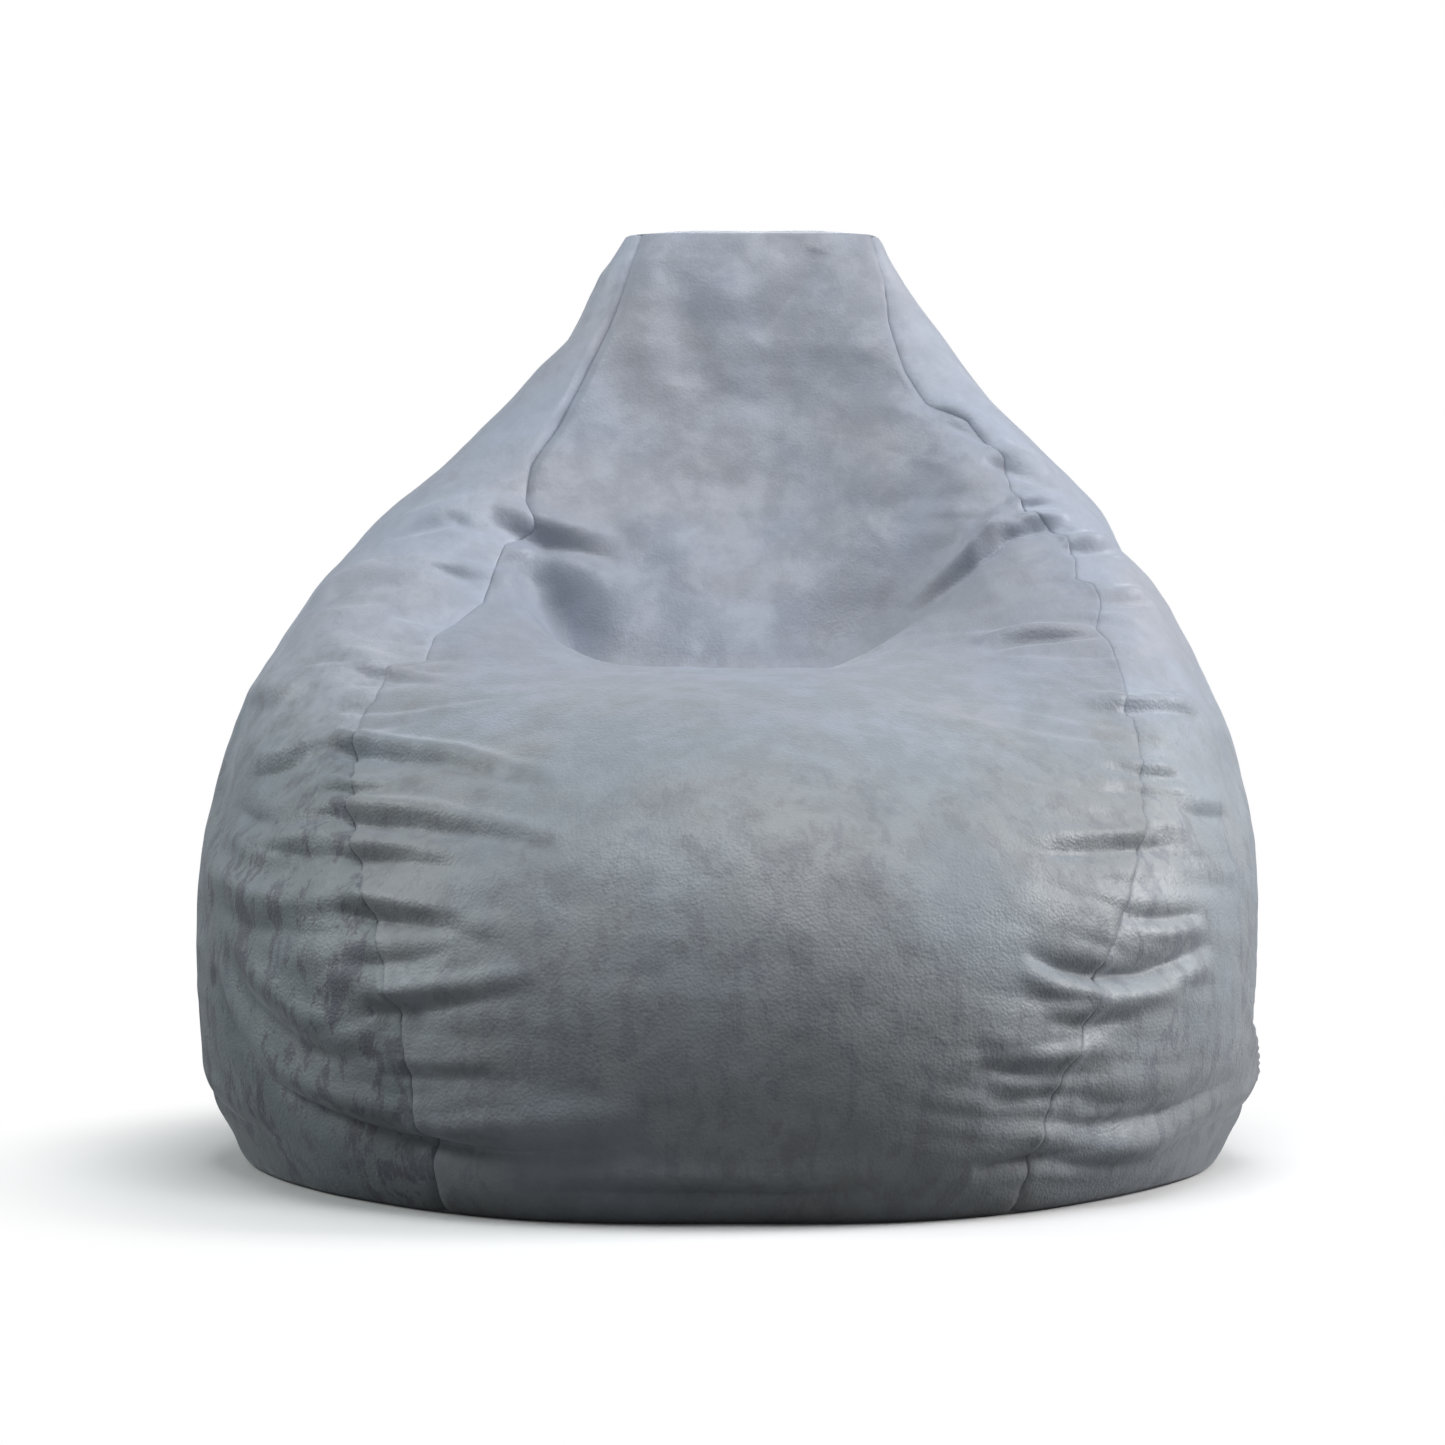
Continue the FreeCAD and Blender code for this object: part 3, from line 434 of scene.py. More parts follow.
BACKREST_FOLDS = (
    Fold(((3.16, 0.330), (3.34, 0.340), (3.50, 0.349), (3.66, 0.358)), 11, 11, 7),
    Fold(((3.34, 0.356), (3.52, 0.398), (3.66, 0.452)), 17, 25, 6),
    Fold(((2.0, 0.03), (2.0, 0.22), (2.0, 0.44)), 13, 120),
    Fold(((3.52, 0.318), (3.72, 0.372), (3.84, 0.430)), 6, 30, 4),
    Fold(((2.62, 0.352), (2.84, 0.342), (3.08, 0.330)), 6, 13, 5),
    Fold(((3.00, 0.382), (3.14, 0.390), (3.28, 0.404)), 5, 12, 4),
    Fold(((4.42, 0.330), (4.58, 0.300), (4.72, 0.262)), 5, 22, 4),
    Fold(((4.04, 0.120), (4.30, 0.060), (4.44, 0.018)), 5, 16, 3),
    Fold(((3.52, 0.030), (3.66, 0.090), (3.70, 0.170)), 4, 22, 3),
    Fold(((4.84, 0.212), (4.98, 0.226), (5.20, 0.250)), 6, 13, 4),
    Fold(((4.96, 0.262), (5.10, 0.272), (5.34, 0.300)), 7, 13, 5),
)
BACK_FOLDS = (
    Fold(((0.10, 0.286), (0.46, 0.300), (0.86, 0.292)), 6, 20, 5),
    Fold(((0.55, 0.398), (0.86, 0.412), (1.24, 0.402)), 8, 18, 6),
    Fold(((0.98, 0.520), (1.24, 0.534), (1.62, 0.522)), 8, 17, 6),
    Fold(((0.34, 0.612), (0.70, 0.628), (1.04, 0.620)), 7, 16, 5),
    Fold(((0.98, 0.716), (1.30, 0.730), (1.70, 0.716)), 8, 17, 6),
    Fold(((0.20, 0.884), (0.66, 0.898), (1.22, 0.900), (1.80, 0.880)), 10, 16, 8),
    Fold(((6.76, 0.366), (7.04, 0.378), (7.44, 0.366)), 8, 17, 6),
    Fold(((6.30, 0.488), (6.66, 0.500), (7.02, 0.492)), 8, 17, 6),
    Fold(((7.00, 0.588), (7.30, 0.598), (7.66, 0.590)), 7, 16, 5),
    Fold(((6.34, 0.700), (6.70, 0.716), (7.04, 0.704)), 8, 17, 6),
    Fold(((6.20, 0.870), (6.80, 0.898), (7.30, 0.896), (7.78, 0.884)), 10, 16, 8),
    Fold(((1.60, 0.300), (1.86, 0.342), (2.06, 0.400)), 7, 26, 5),
    Fold(((5.94, 0.402), (6.14, 0.350), (6.42, 0.306)), 7, 26, 5),
    Fold(((7.20, 0.200), (7.60, 0.214), (7.94, 0.206)), 5, 18, 4),
)
FOLDS = (SEAT + FRONT_LEFT_PUCKERS + LEFT_SIDE_PUCKERS + FOOT_FOLDS + FRONT_RIGHT_PUCKERS + BACKREST_FOLDS
         + BACK_FOLDS)


@dataclass(frozen=True)
class Gathers:
    """Fine folds that run out from a seam on both sides, where its stitching draws the cloth together."""

    line: float
    top: float = 0.30
    bottom: float = 0.955
    spacing: float = 0.0220
    reach: tuple[float, float] = (0.16, 0.56)
    depth: tuple[float, float] = (1.0, 3.6)
    width: tuple[float, float] = (6.0, 9.5)
    shares: tuple[float, float] = (1.0, 1.0)     # of that depth, before and after the seam
    seed: int = 5

    def folds(self) -> list[Fold]:
        """Returns the folds, each at a random place, length and depth that stay the same from run to run."""
        draw = np.random.RandomState(self.seed + int(10 * self.line))
        made = []
        for v in np.arange(self.top, self.bottom, self.spacing):
            for side in (-1, 1):
                start = v + draw.uniform(-0.3, 0.3) * self.spacing
                reach = draw.uniform(*self.reach) * side
                slope = draw.uniform(-0.016, 0.016)
                points = ((self.line + 0.01 * side, start),
                          (self.line + reach / 2, start + slope / 2 + 0.003),
                          (self.line + reach, start + slope))
                depth = draw.uniform(*self.depth) * self.shares[side > 0]
                ridge = 0.7 * depth * (1 if side < 0 else -1)
                made.append(Fold(points, depth, draw.uniform(*self.width), ridge, Ends.START))
        return made


GATHERS = (Gathers(FRONT_LEFT, shares=(0.45, 1.0)), Gathers(FRONT_RIGHT, spacing=0.0175, shares=(1.15, 0.9)),
           Gathers(BACK_LEFT, top=0.15), Gathers(BACK_RIGHT, top=0.15))

# How far each front seam strays from its pattern line, as (v, millimetres towards the sitter's left).
SEAM_DRIFT = {
    FRONT_LEFT: ((0.00, 3), (0.06, 7), (0.15, 14), (0.22, 25), (0.26, 28), (0.30, 44), (0.333, 66),
                 (0.347, 52), (0.38, 58), (0.42, 66), (0.47, 50), (0.503, 54), (0.514, 30), (0.555, 30),
                 (0.562, 24), (0.597, 23), (0.604, 17), (0.615, 21), (0.66, 21), (0.672, 15),
                 (0.69, 22), (0.71, 16), (0.724, 23), (0.80, 28), (0.85, 31), (0.885, 28), (0.935, 18),
                 (1.00, 0)),
    FRONT_RIGHT: ((0.00, 8), (0.055, 3), (0.10, -9), (0.157, -17), (0.195, -16), (0.215, 8), (0.26, 19),
                  (0.295, 4), (0.32, 4), (0.355, 23), (0.38, 19), (0.405, 6), (0.415, 17), (0.435, 15),
                  (0.466, -3), (0.48, 3), (0.535, 4), (0.56, 0), (0.566, 6), (0.61, 9), (0.66, 12),
                  (0.69, 16), (0.73, 11), (0.76, 8), (0.815, -3), (0.86, -9), (0.89, -17), (0.91, -22),
                  (0.94, -20), (0.97, -15), (1.00, -8)),
}
DRIFT_REACH = 0.9            # how far round, in u, a seam's stray carries the cloth with it
SOFT_FOLD = 20               # millimetres; a fold wider than this has a rounded valley
BROAD_FOLD = 100             # millimetres; a fold this wide dies away more slowly at its ends
FOLD_REACH = 5               # a fold is felt this many widths away
FOLD_SAMPLES = 24            # places worked out along each span of a fold's line
FOLD_ROUNDING = 10           # passes that round its line's corners
CREST_PLACE = 1.75           # widths from the valley to the crest beside it


# ------------------------------------------------------------------------------------------ the cover
@dataclass(frozen=True)
class ZipOpening:
    """Where the cover's zip lies on the centre back."""

    top: float = 0.480
    bottom: float = 0.090
    half_gap: float = 0.007
    kept_flat: float = 0.030         # the cloth is left as designed this far each side

    def nearness(self, height: Array, ease: float) -> Array:
        """Returns 1 within the zip's heights and 0 further than ease past its ends."""
        return (smooth_step(self.bottom - ease, self.bottom, height)
                * (1 - smooth_step(self.top, self.top + ease, height)))


@dataclass
class CoverShape:
    """The cover's shape: the skin with its strayed seams, pressed folds and simulated slack.

    The shape is kept on a grid of columns round the body and rows from the cap to the foot, and anything can
    be laid on it by u and v.
    """

    skin: Skin
    zip_opening: ZipOpening
    columns: int = 448
    rows: int = 382
    coarse: tuple[int, int] = (2, 3)     # the simulated cloth has every second column and third row
    slack: float = 0.030             # cloth that is longer than its seams, as a share
    pressure: float = 2.0
    frames: int = 13
    most_swell: float = 0.007
    swell_blurs: tuple[int, int] = (5, 90)       # passes that smooth the slack and that find its broad part
    broad_share: float = 0.85        # of the slack's broad part, which is taken off
    seam_hold: tuple[float, float] = (0.001, 0.010)      # metres from a seam where its hold ends
    cap_hold: float = 0.05           # v where the cap's hold ends
    foot_hold: tuple[float, float] = (0.93, 0.995)       # v where the foot's hold starts and is full
    taut_share: float = 0.22         # the slack that shows where the front is stretched taut
    taut_reach: float = 0.055
    seam_dip: float = 0.0026         # the cloth dips into a seam
    seam_dip_reach: float = 0.0050
    pucker: float = 0.0010           # unevenness along the seams
    pucker_pitch: float = 0.014
    pucker_reach: float = 0.030
    crumple: float = 0.0008          # soft unevenness everywhere
    least_scale: float = 0.02        # metres per unit of u, at the least
    grid: Array = field(init=False)
    normals: Array = field(init=False)

    def drape(self) -> None:
        """Works the shape out, in the order a bag gets it: sewn, pressed by a sitter, slack taken up."""
        u, v = self._lattice((self.columns, self.rows))
        start = self.skin.at((u + self._drift(u, v)).ravel() % ROUND, v.ravel()).reshape(*u.shape, 3)
        outward = self.outward(start)
        start = start + outward * self._folded(start, outward)[..., None]
        self.grid = start
        self.grid = self._slackened(start)
        self.grid[..., 2] = np.maximum(self.grid[..., 2], self.skin.foot_height)
        self.normals = self.outward(self.grid)
        steps = np.linalg.norm(np.roll(self.grid, -1, 0) - np.roll(self.grid, 1, 0), axis=2)
        self.metres_per_u = blurred(steps * self.columns / (2 * ROUND), 6)
        self.metres_per_v = np.linalg.norm(np.gradient(self.grid, axis=1), axis=2) * (self.rows - 1)
        self.grain = ValueNoise(11)
        self.soft = ValueNoise(23)

    def _lattice(self, shape: Sequence[int]) -> tuple[Array, Array]:
        """Returns u and v of the points of a grid with this many columns and rows."""
        u = np.arange(shape[0]) * ROUND / shape[0]
        v = np.linspace(0.0, 1.0, shape[1])
        return np.meshgrid(u, v, indexing="ij")

    def outward(self, grid: Array) -> Array:
        """Returns the outward normals of a grid."""
        along_u = np.roll(grid, -1, 0) - np.roll(grid, 1, 0)
        along_v = np.gradient(grid, axis=1)
        return unit(np.cross(along_v, along_u))

    def _drift(self, u: Array, v: Array) -> Array:
        """Returns how far in u the cloth is carried by its strayed seams."""
        total = np.zeros_like(u)
        for line, strays in SEAM_DRIFT.items():
            rows = v[0]
            here = self.skin.at(np.full_like(rows, line), rows)
            beside = self.skin.at(np.full_like(rows, line + 0.05), rows)
            scale = np.linalg.norm(beside - here, axis=1) / 0.05
            heights, amounts = zip(*strays)
            stray = np.interp(rows, heights, amounts) * MM / scale
            away = np.clip(np.abs(u - line) / DRIFT_REACH, 0, 1)
            total += np.cos(away * math.pi / 2)**2 * stray[None, :]
        return total

    def _folded(self, start: Array, outward: Array) -> Array:
        """Returns how far out each point of the grid is moved by the folds."""
        flat, normals = start.reshape(-1, 3), outward.reshape(-1, 3)
        total = np.zeros(len(flat))
        gathered = [fold for gathers in GATHERS for fold in gathers.folds()]
        for fold in (*FOLDS, *gathered):
            total += self._fold_depth(fold, flat, normals)
        return total.reshape(start.shape[:2])

    def _fold_depth(self, fold: Fold, points: Array, normals: Array) -> Array:
        """Returns one fold's outward move of some points.

        Args:
            fold: The fold.
            points: Points of the cover.
            normals: The outward normal at each.

        Returns:
            Metres outwards, negative in the fold's valley.
        """
        corners = np.array(fold.points)
        along = np.linspace(0, len(corners) - 1, FOLD_SAMPLES * (len(corners) - 1) + 1)
        tracks = [np.interp(along, np.arange(len(corners)), corners[:, i]) for i in (0, 1)]
        tracks = [blur_line(track, FOLD_ROUNDING) for track in tracks]
        line = self.skin.at(tracks[0] % ROUND, tracks[1])
        reach = FOLD_REACH * fold.width * MM
        near = np.all((points > line.min(0) - reach) & (points < line.max(0) + reach), axis=1).nonzero()[0]
        out = np.zeros(len(points))
        if not len(near):
            return out
        gap = points[near][:, None, :] - line[None]
        nearest = np.argmin((gap**2).sum(2), axis=1)
        rows = np.arange(len(near))
        away = gap[rows, nearest]
        heading = unit(np.gradient(line, axis=0))[nearest]
        side = unit(np.cross(normals[near], heading))
        across = (away * side).sum(1) / (fold.width * MM)
        past = (away * heading).sum(1) / (2 * fold.width * MM)
        length = np.linalg.norm(np.diff(line, axis=0), axis=1).sum()
        share = np.clip(nearest / (len(line) - 1) + (away * heading).sum(1) / length, 0, 1)
        if fold.ends is Ends.START:
            fade = (1 - share)**0.8 * (0.5 + 0.5 * smooth_step(0.0, 0.12, share))
        else:
            fade = np.sin(np.pi * share)**(0.7 if fold.width < BROAD_FOLD else 1.3)
        sharp = np.exp(-1.35 * (np.sqrt(across**2 + 0.06) - 0.24))
        valley = -fold.depth * (np.exp(-across**2) if fold.width > SOFT_FOLD else sharp)
        crest = abs(fold.ridge) * np.exp(-(across - CREST_PLACE * np.sign(fold.ridge))**2 / 1.1)
        out[near] = (valley + crest) * MM * fade * np.exp(-past**2)
        return out

    def _slackened(self, start: Array) -> Array:
        """Takes up the cloth's slack by simulation.

        Args:
            start: The grid before.

        Returns:
            The grid after. Its broad shape is kept, and only what the slack adds to it is taken.
        """
        coarse = start[::self.coarse[0], ::self.coarse[1]]
        columns, rows = coarse.shape[:2]
        piece = self._simulated_piece(coarse)
        scene = bpy.context.scene
        for step in range(1, self.frames + 1):
            scene.frame_set(step)
        evaluated = piece.evaluated_get(bpy.context.evaluated_depsgraph_get())
        moved = np.empty(len(evaluated.data.vertices) * 3)
        evaluated.data.vertices.foreach_get("co", moved)
        moved = moved.reshape(-1, 3)[:columns * rows].reshape(coarse.shape)
        mesh = piece.data
        bpy.data.objects.remove(piece)
        bpy.data.meshes.remove(mesh)
        scene.frame_set(1)
        swell = moved - coarse
        fine, broad = self.swell_blurs
        swell = blurred(swell, fine) - self.broad_share * blurred(swell, broad)
        length = np.linalg.norm(swell, axis=2, keepdims=True)
        swell *= self.most_swell * np.tanh(length / self.most_swell) / np.maximum(length, 1e-9)
        log.info("slack moves the cover %.1f mm on average", 1000 * np.abs(swell).mean())
        swell *= ((1 - self._pinned(coarse)) * self._looseness(coarse))[..., None]
        u, v = self._lattice(start.shape)
        return start + self.sample(swell, u.ravel(), v.ravel()).reshape(start.shape)

    def _looseness(self, grid: Array) -> Array:
        """Returns how much of the slack shows: all beside a seam, less in the middle of the wide front."""
        u = self._lattice(grid.shape)[0]
        scale = np.linalg.norm(np.roll(grid, -1, 0) - grid, axis=2) * len(grid) / ROUND
        inside = np.minimum(u - FRONT_LEFT, FRONT_RIGHT - u) * scale
        return self.taut_share + (1 - self.taut_share) * np.exp(-np.maximum(inside, 0) / self.taut_reach)

    def _pinned(self, grid: Array) -> Array:
        """Returns 1 where the cloth is held by a seam or the zip, falling to 0 beside it."""
        u, v = self._lattice(grid.shape)
        scale = np.linalg.norm(np.roll(grid, -1, 0) - grid, axis=2) * len(grid) / ROUND
        held = np.zeros(u.shape)
        for line in SEAM_LINES:
            away = np.abs((u - line + 4) % ROUND - 4) * scale
            held = np.maximum(held, 1 - smooth_step(*self.seam_hold, away))
        back = np.abs((u + 4) % ROUND - 4) * scale
        flat = self.zip_opening.kept_flat
        near_zip = self.zip_opening.nearness(grid[..., 2], 0.03)
        held = np.maximum(held, (1 - smooth_step(flat, 2 * flat, back)) * near_zip)
        at_ends = np.maximum(1 - smooth_step(0, self.cap_hold, v), smooth_step(*self.foot_hold, v))
        return np.maximum(held, at_ends)

    def _simulated_piece(self, start: Array) -> Piece:
        """Makes the closed bag that the simulation inflates.

        Args:
            start: The grid it starts from.

        Returns:
            The object, whose first vertices are the grid's, row by row.
        """
        bm = bmesh.new()
        verts = [[bm.verts.new(point) for point in column] for column in start]
        for i in range(len(verts)):
            here, there = verts[i], verts[(i + 1) % len(verts)]
            for j in range(len(here) - 1):
                bm.faces.new((here[j], here[j + 1], there[j + 1], there[j]))
        for end in (0, -1):
            rim = [column[end] for column in verts]
            bm.faces.new(rim if end else rim[::-1])
        bmesh.ops.recalc_face_normals(bm, faces=bm.faces)
        piece = finished_mesh("slack_bag", bm)
        group = piece.vertex_groups.new(name="held")
        held = self._pinned(start).ravel()
        for index in (held > 0.5).nonzero()[0]:
            group.add([int(index)], 1.0, "REPLACE")
        cloth = piece.modifiers.new("cloth", "CLOTH")
        settings = cloth.settings
        settings.vertex_group_mass = "held"
        settings.quality = 5
        settings.mass = 0.3
        settings.tension_stiffness = settings.compression_stiffness = 18
        settings.shear_stiffness = 8
        settings.bending_stiffness = 0.25
        settings.air_damping = 2
        settings.use_pressure = True
        settings.uniform_pressure_force = self.pressure
        settings.shrink_min = -self.slack
        settings.shrink_max = -self.slack
        settings.effector_weights.gravity = 0
        cloth.point_cache.frame_end = self.frames
        return piece

    def sample(self, values: Array, u: Array, v: Array) -> Array:
        """Reads a field of the grid at paired u and v, smoothly.

        Args:
            values: A field with the grid's columns and rows first.
            u: Lines round the body.
            v: Places from the cap to the foot.

        Returns:
            The field's values.
        """
        columns, last = values.shape[0], values.shape[1] - 1
        x = (u % ROUND) * columns / ROUND
        y = np.clip(v, 0.0, 1.0) * last
        column, row = np.floor(x).astype(int), np.minimum(np.floor(y).astype(int), last - 1)
        across, down = catmull_weights(x - column), catmull_weights(y - row)
        total = 0.0
        for i, a in enumerate(across):
            for j, b in enumerate(down):
                weight = (a * b).reshape(-1, *([1] * (values.ndim - 2)))
                rows = np.clip(row + j - 1, 0, last)
                total = total + weight * values[(column + i - 1) % columns, rows]
        return total

    def point(self, u: Array, v: Array, depth: Array | float = 0.0) -> Array:
        """Returns the cover's points, at a depth below its outside, at paired u and v."""
        u, v = np.broadcast_arrays(np.asarray(u, float), np.asarray(v, float))
        base, normal = self.sample(self.grid, u, v), unit(self.sample(self.normals, u, v))
        return base + normal * (self._relief(u, v, base) - depth)[:, None]

    def normal(self, u: Array, v: Array) -> Array:
        """Returns the outward normals at paired u and v."""
        return unit(self.sample(self.normals, u, v))

    def scale_u(self, u: Array, v: Array) -> Array:
        """Returns metres round the body per unit of u."""
        return np.maximum(self.sample(self.metres_per_u, u, v), self.least_scale)

    def scale_v(self, u: Array, v: Array) -> Array:
        """Returns metres down the body per unit of v."""
        return self.sample(self.metres_per_v, u, v)

    def height_on(self, line: Array | float, v: Array) -> Array:
        """Returns the heights of a line's points at each v."""
        return self.sample(self.grid, np.broadcast_to(line, v.shape), v)[:, 2]

    def v_at(self, line: float, height: float) -> float:
        """Returns v where a line is at a height."""
        v = np.linspace(0, 1, 2001)
        return float(v[np.argmin(abs(self.height_on(line, v) - height))])

    def _relief(self, u: Array, v: Array, base: Array) -> Array:
        """Returns the finest relief: the dip at each seam, the gathers beside it and a soft crumple.

        Args:
            u: Lines round the body.
            v: Places from the cap to the foot.
            base: The cover's points there, before this relief.

        Returns:
            Metres outwards.
        """
        scale = self.scale_u(u, v)
        down = v * DROP
        total = np.zeros_like(u)
        for index, line in enumerate(SEAM_LINES):
            away = np.abs((u - line + 4) % ROUND - 4) * scale
            side = np.where((u - line + 4) % ROUND > 4, 40.0, 0.0) + 17.0 * index
            gathers = self.grain.at(down / self.pucker_pitch + 0.6 * away / self.pucker_reach + side,
                                    away / 0.045 + side)
            strength = 0.45 + 0.55 * self.soft.at(down / 0.09 + side, np.full_like(u, 3.3 * index))
            total += self.pucker * gathers * np.clip(strength, 0, 1) * np.exp(-away / self.pucker_reach)
            total -= self.seam_dip * np.exp(-(away / self.seam_dip_reach)**1.3)
        ends = np.minimum(v, 1 - v) * DROP
        total -= 0.3 * self.seam_dip * np.exp(-ends / self.seam_dip_reach)
        total += self.crumple * (self.soft.at(base[:, 0] / 0.05 + 60, base[:, 2] / 0.028 + 9 * base[:, 1])
                                 + 0.5 * self.grain.at(base[:, 0] / 0.021, base[:, 2] / 0.013 + 60))
        back = np.abs((u + 4) % ROUND - 4) * scale
        flat = self.zip_opening.kept_flat
        at_zip = (1 - smooth_step(flat, 2 * flat, back)) * self.zip_opening.nearness(base[:, 2], 0.02)
        return total * (1 - at_zip)


def blur_line(track: Array, passes: int) -> Array:
    """Rounds a line's corners, keeping its ends."""
    out = track.copy()
    for _ in range(passes):
        out[1:-1] = (out[:-2] + 2 * out[1:-1] + out[2:]) / 4
    return out


# ------------------------------------------------------------------------------------------ node helpers
class Nodes:
    """Adds nodes to one node tree and links them."""

    def __init__(self, tree: bpy.types.NodeTree) -> None:
        """Takes the tree to add to."""
        self.tree = tree

    def add(self, kind: str, inputs: Optional[dict] = None, **settings: object) -> Node:
        """Adds one node.

        Args:
            kind: The node's type, without its ShaderNode prefix.
            inputs: Socket name or number to a value, or to the socket that feeds it.
            settings: The node's own properties.

        Returns:
            The node.
        """
        node = self.tree.nodes.new(kind if kind.startswith("Node") else "ShaderNode" + kind)
        for name, value in settings.items():
            setattr(node, name, value)
        return self.feed(node, inputs or {})

    def feed(self, node: Node, inputs: dict) -> Node:
        """Sets a node's inputs.

        Args:
            node: The node.
            inputs: Socket name or number to a value, or to the socket that feeds it.

        Returns:
            The same node.
        """
        for key, value in inputs.items():
            if isinstance(value, Socket):
                self.tree.links.new(value, node.inputs[key])
            else:
                node.inputs[key].default_value = value
        return node

    def maths(self, operation: str, *values: object) -> Socket:
        """Returns the result of a maths node on values or sockets."""
        return self.add("Math", dict(enumerate(values)), operation=operation).outputs[0]

    def ramp(self, value: Socket, low: float, high: float, to_low: float = 0.0,
             to_high: float = 1.0) -> Socket:
        """Returns a value mapped from one range to another, smoothly and clamped."""
        inputs = {"Value": value, "From Min": low, "From Max": high, "To Min": to_low, "To Max": to_high}
        return self.add("MapRange", inputs, interpolation_type="SMOOTHSTEP").outputs["Result"]

    def mix(self, share: object, first: object, second: object, blend: str = "MIX") -> Socket:
        """Returns two colours mixed by a share."""
        colours = [value if isinstance(value, Socket) else (*value, 1.0) for value in (first, second)]
        node = self.add("Mix", None, data_type="RGBA", blend_type=blend)
        return self.feed(node, {0: share, 6: colours[0], 7: colours[1]}).outputs[2]

    def bump(self, height: Socket, strength: float, distance: float) -> Socket:
        """Returns the normals of a surface with this relief."""
        return self.add("Bump", {"Height": height, "Strength": strength, "Distance": distance}).outputs[0]


def node_group(name: str, inputs: dict[str, float], outputs: Sequence[str],
               build: Callable[[Nodes, Node], dict[str, Socket]]) -> bpy.types.NodeTree:
    """Makes a shader node group once.

    Args:
        name: The group's name.
        inputs: Input names and their usual values; "Coordinates" is a vector.
        outputs: Output names, all plain values.
        build: Fills the group and returns the socket for each output.

    Returns:
        The group, new or made before.
    """
    if name in bpy.data.node_groups:
        return bpy.data.node_groups[name]
    tree = bpy.data.node_groups.new(name, "ShaderNodeTree")
    tree.interface.new_socket("Coordinates", in_out="INPUT", socket_type="NodeSocketVector")
    for label, value in inputs.items():
        tree.interface.new_socket(label, in_out="INPUT", socket_type="NodeSocketFloat").default_value = value
    for label in outputs:
        tree.interface.new_socket(label, in_out="OUTPUT", socket_type="NodeSocketFloat")
    nodes = Nodes(tree)
    entry, leave = nodes.add("NodeGroupInput"), nodes.add("NodeGroupOutput")
    for label, socket in build(nodes, entry).items():
        tree.links.new(socket, leave.inputs[label])
    return tree


def nap_clouds() -> bpy.types.NodeTree:
    """Returns the group for the cloudy look of brushed nap."""
    def build(nodes: Nodes, entry: Node) -> dict[str, Socket]:
        where, size = entry.outputs["Coordinates"], entry.outputs["Patch Size"]
        broad = nodes.add("TexNoise", {"Vector": where, "Scale": nodes.maths("DIVIDE", 0.55, size),
                                       "Detail": 5, "Roughness": 0.58, "Distortion": 0.15})
        fine = nodes.add("TexNoise", {"Vector": where, "Scale": nodes.maths("DIVIDE", 2.6, size),
                                      "Detail": 7, "Roughness": 0.66, "Distortion": 0.1})
        drawn = nodes.add("Mapping", {"Vector": where, "Scale": (1.0, 1.0, 0.45),
                                      "Rotation": (0.3, 0.5, 0.2)})
        rubbed = nodes.add("TexNoise", {"Vector": drawn.outputs[0], "Scale": nodes.maths("DIVIDE", 5.0, size),
                                        "Detail": 6, "Roughness": 0.72, "Distortion": 0.3})
        marks = nodes.ramp(rubbed.outputs[0], 0.50, 0.58)
        where_marked = nodes.ramp(broad.outputs[0], 0.36, 0.52)
        return {"Cloud": nodes.ramp(broad.outputs[0], 0.36, 0.64),
                "Mottle": nodes.ramp(fine.outputs[0], 0.30, 0.70),
                "Marks": nodes.maths("MULTIPLY", marks, where_marked)}

    return node_group("nap_clouds", {"Patch Size": 0.1}, ("Cloud", "Mottle", "Marks"), build)


def pebble_grain() -> bpy.types.NodeTree:
    """Returns the group for the fine pebbled grain of pressed suede."""
    def build(nodes: Nodes, entry: Node) -> dict[str, Socket]:
        where, pitch = entry.outputs["Coordinates"], entry.outputs["Pitch"]
        scale = nodes.maths("DIVIDE", 1.0, pitch)
        pebbles = nodes.add("TexVoronoi", {"Vector": where, "Scale": scale, "Smoothness": 0.6,
                                           "Randomness": 0.95}, feature="SMOOTH_F1")
        creases = nodes.add("TexNoise", {"Vector": where, "Scale": nodes.maths("MULTIPLY", scale, 0.22),
                                         "Detail": 6, "Roughness": 0.6, "Distortion": 0.5})
        fibre = nodes.add("TexNoise", {"Vector": where, "Scale": nodes.maths("MULTIPLY", scale, 3.5),
                                       "Detail": 2})
        height = nodes.maths("MULTIPLY_ADD", creases.outputs[0], 0.9,
                             nodes.maths("MULTIPLY", pebbles.outputs["Distance"], -0.55))
        return {"Height": nodes.maths("MULTIPLY_ADD", fibre.outputs[0], 0.16, height)}

    return node_group("pebble_grain", {"Pitch": 0.0026}, ("Height",), build)


def plain_weave() -> bpy.types.NodeTree:
    """Returns the group for a plain weave, from threads that pass over and under."""
    def build(nodes: Nodes, entry: Node) -> dict[str, Socket]:
        split = nodes.add("SeparateXYZ", {0: entry.outputs["Coordinates"]})
        turn = nodes.maths("DIVIDE", math.pi, entry.outputs["Pitch"])
        waves = [nodes.maths("SINE", nodes.maths("MULTIPLY", axis, turn)) for axis in split.outputs[:2]]
        over = nodes.maths("MULTIPLY", *waves)
        fuzz = nodes.add("TexNoise", {"Vector": entry.outputs["Coordinates"], "Scale": 900.0, "Detail": 3})
        height = nodes.maths("MULTIPLY_ADD", fuzz.outputs[0], 0.5, nodes.maths("ABSOLUTE", over))
        return {"Height": height, "Over": nodes.ramp(over, -0.6, 0.6)}

    return node_group("plain_weave", {"Pitch": 0.0006}, ("Height", "Over"), build)


# ------------------------------------------------------------------------------------------ finishes
class Coordinates(Enum):
    """What a finish's pattern follows."""

    OBJECT = "Object"
    PATTERN = "UV"


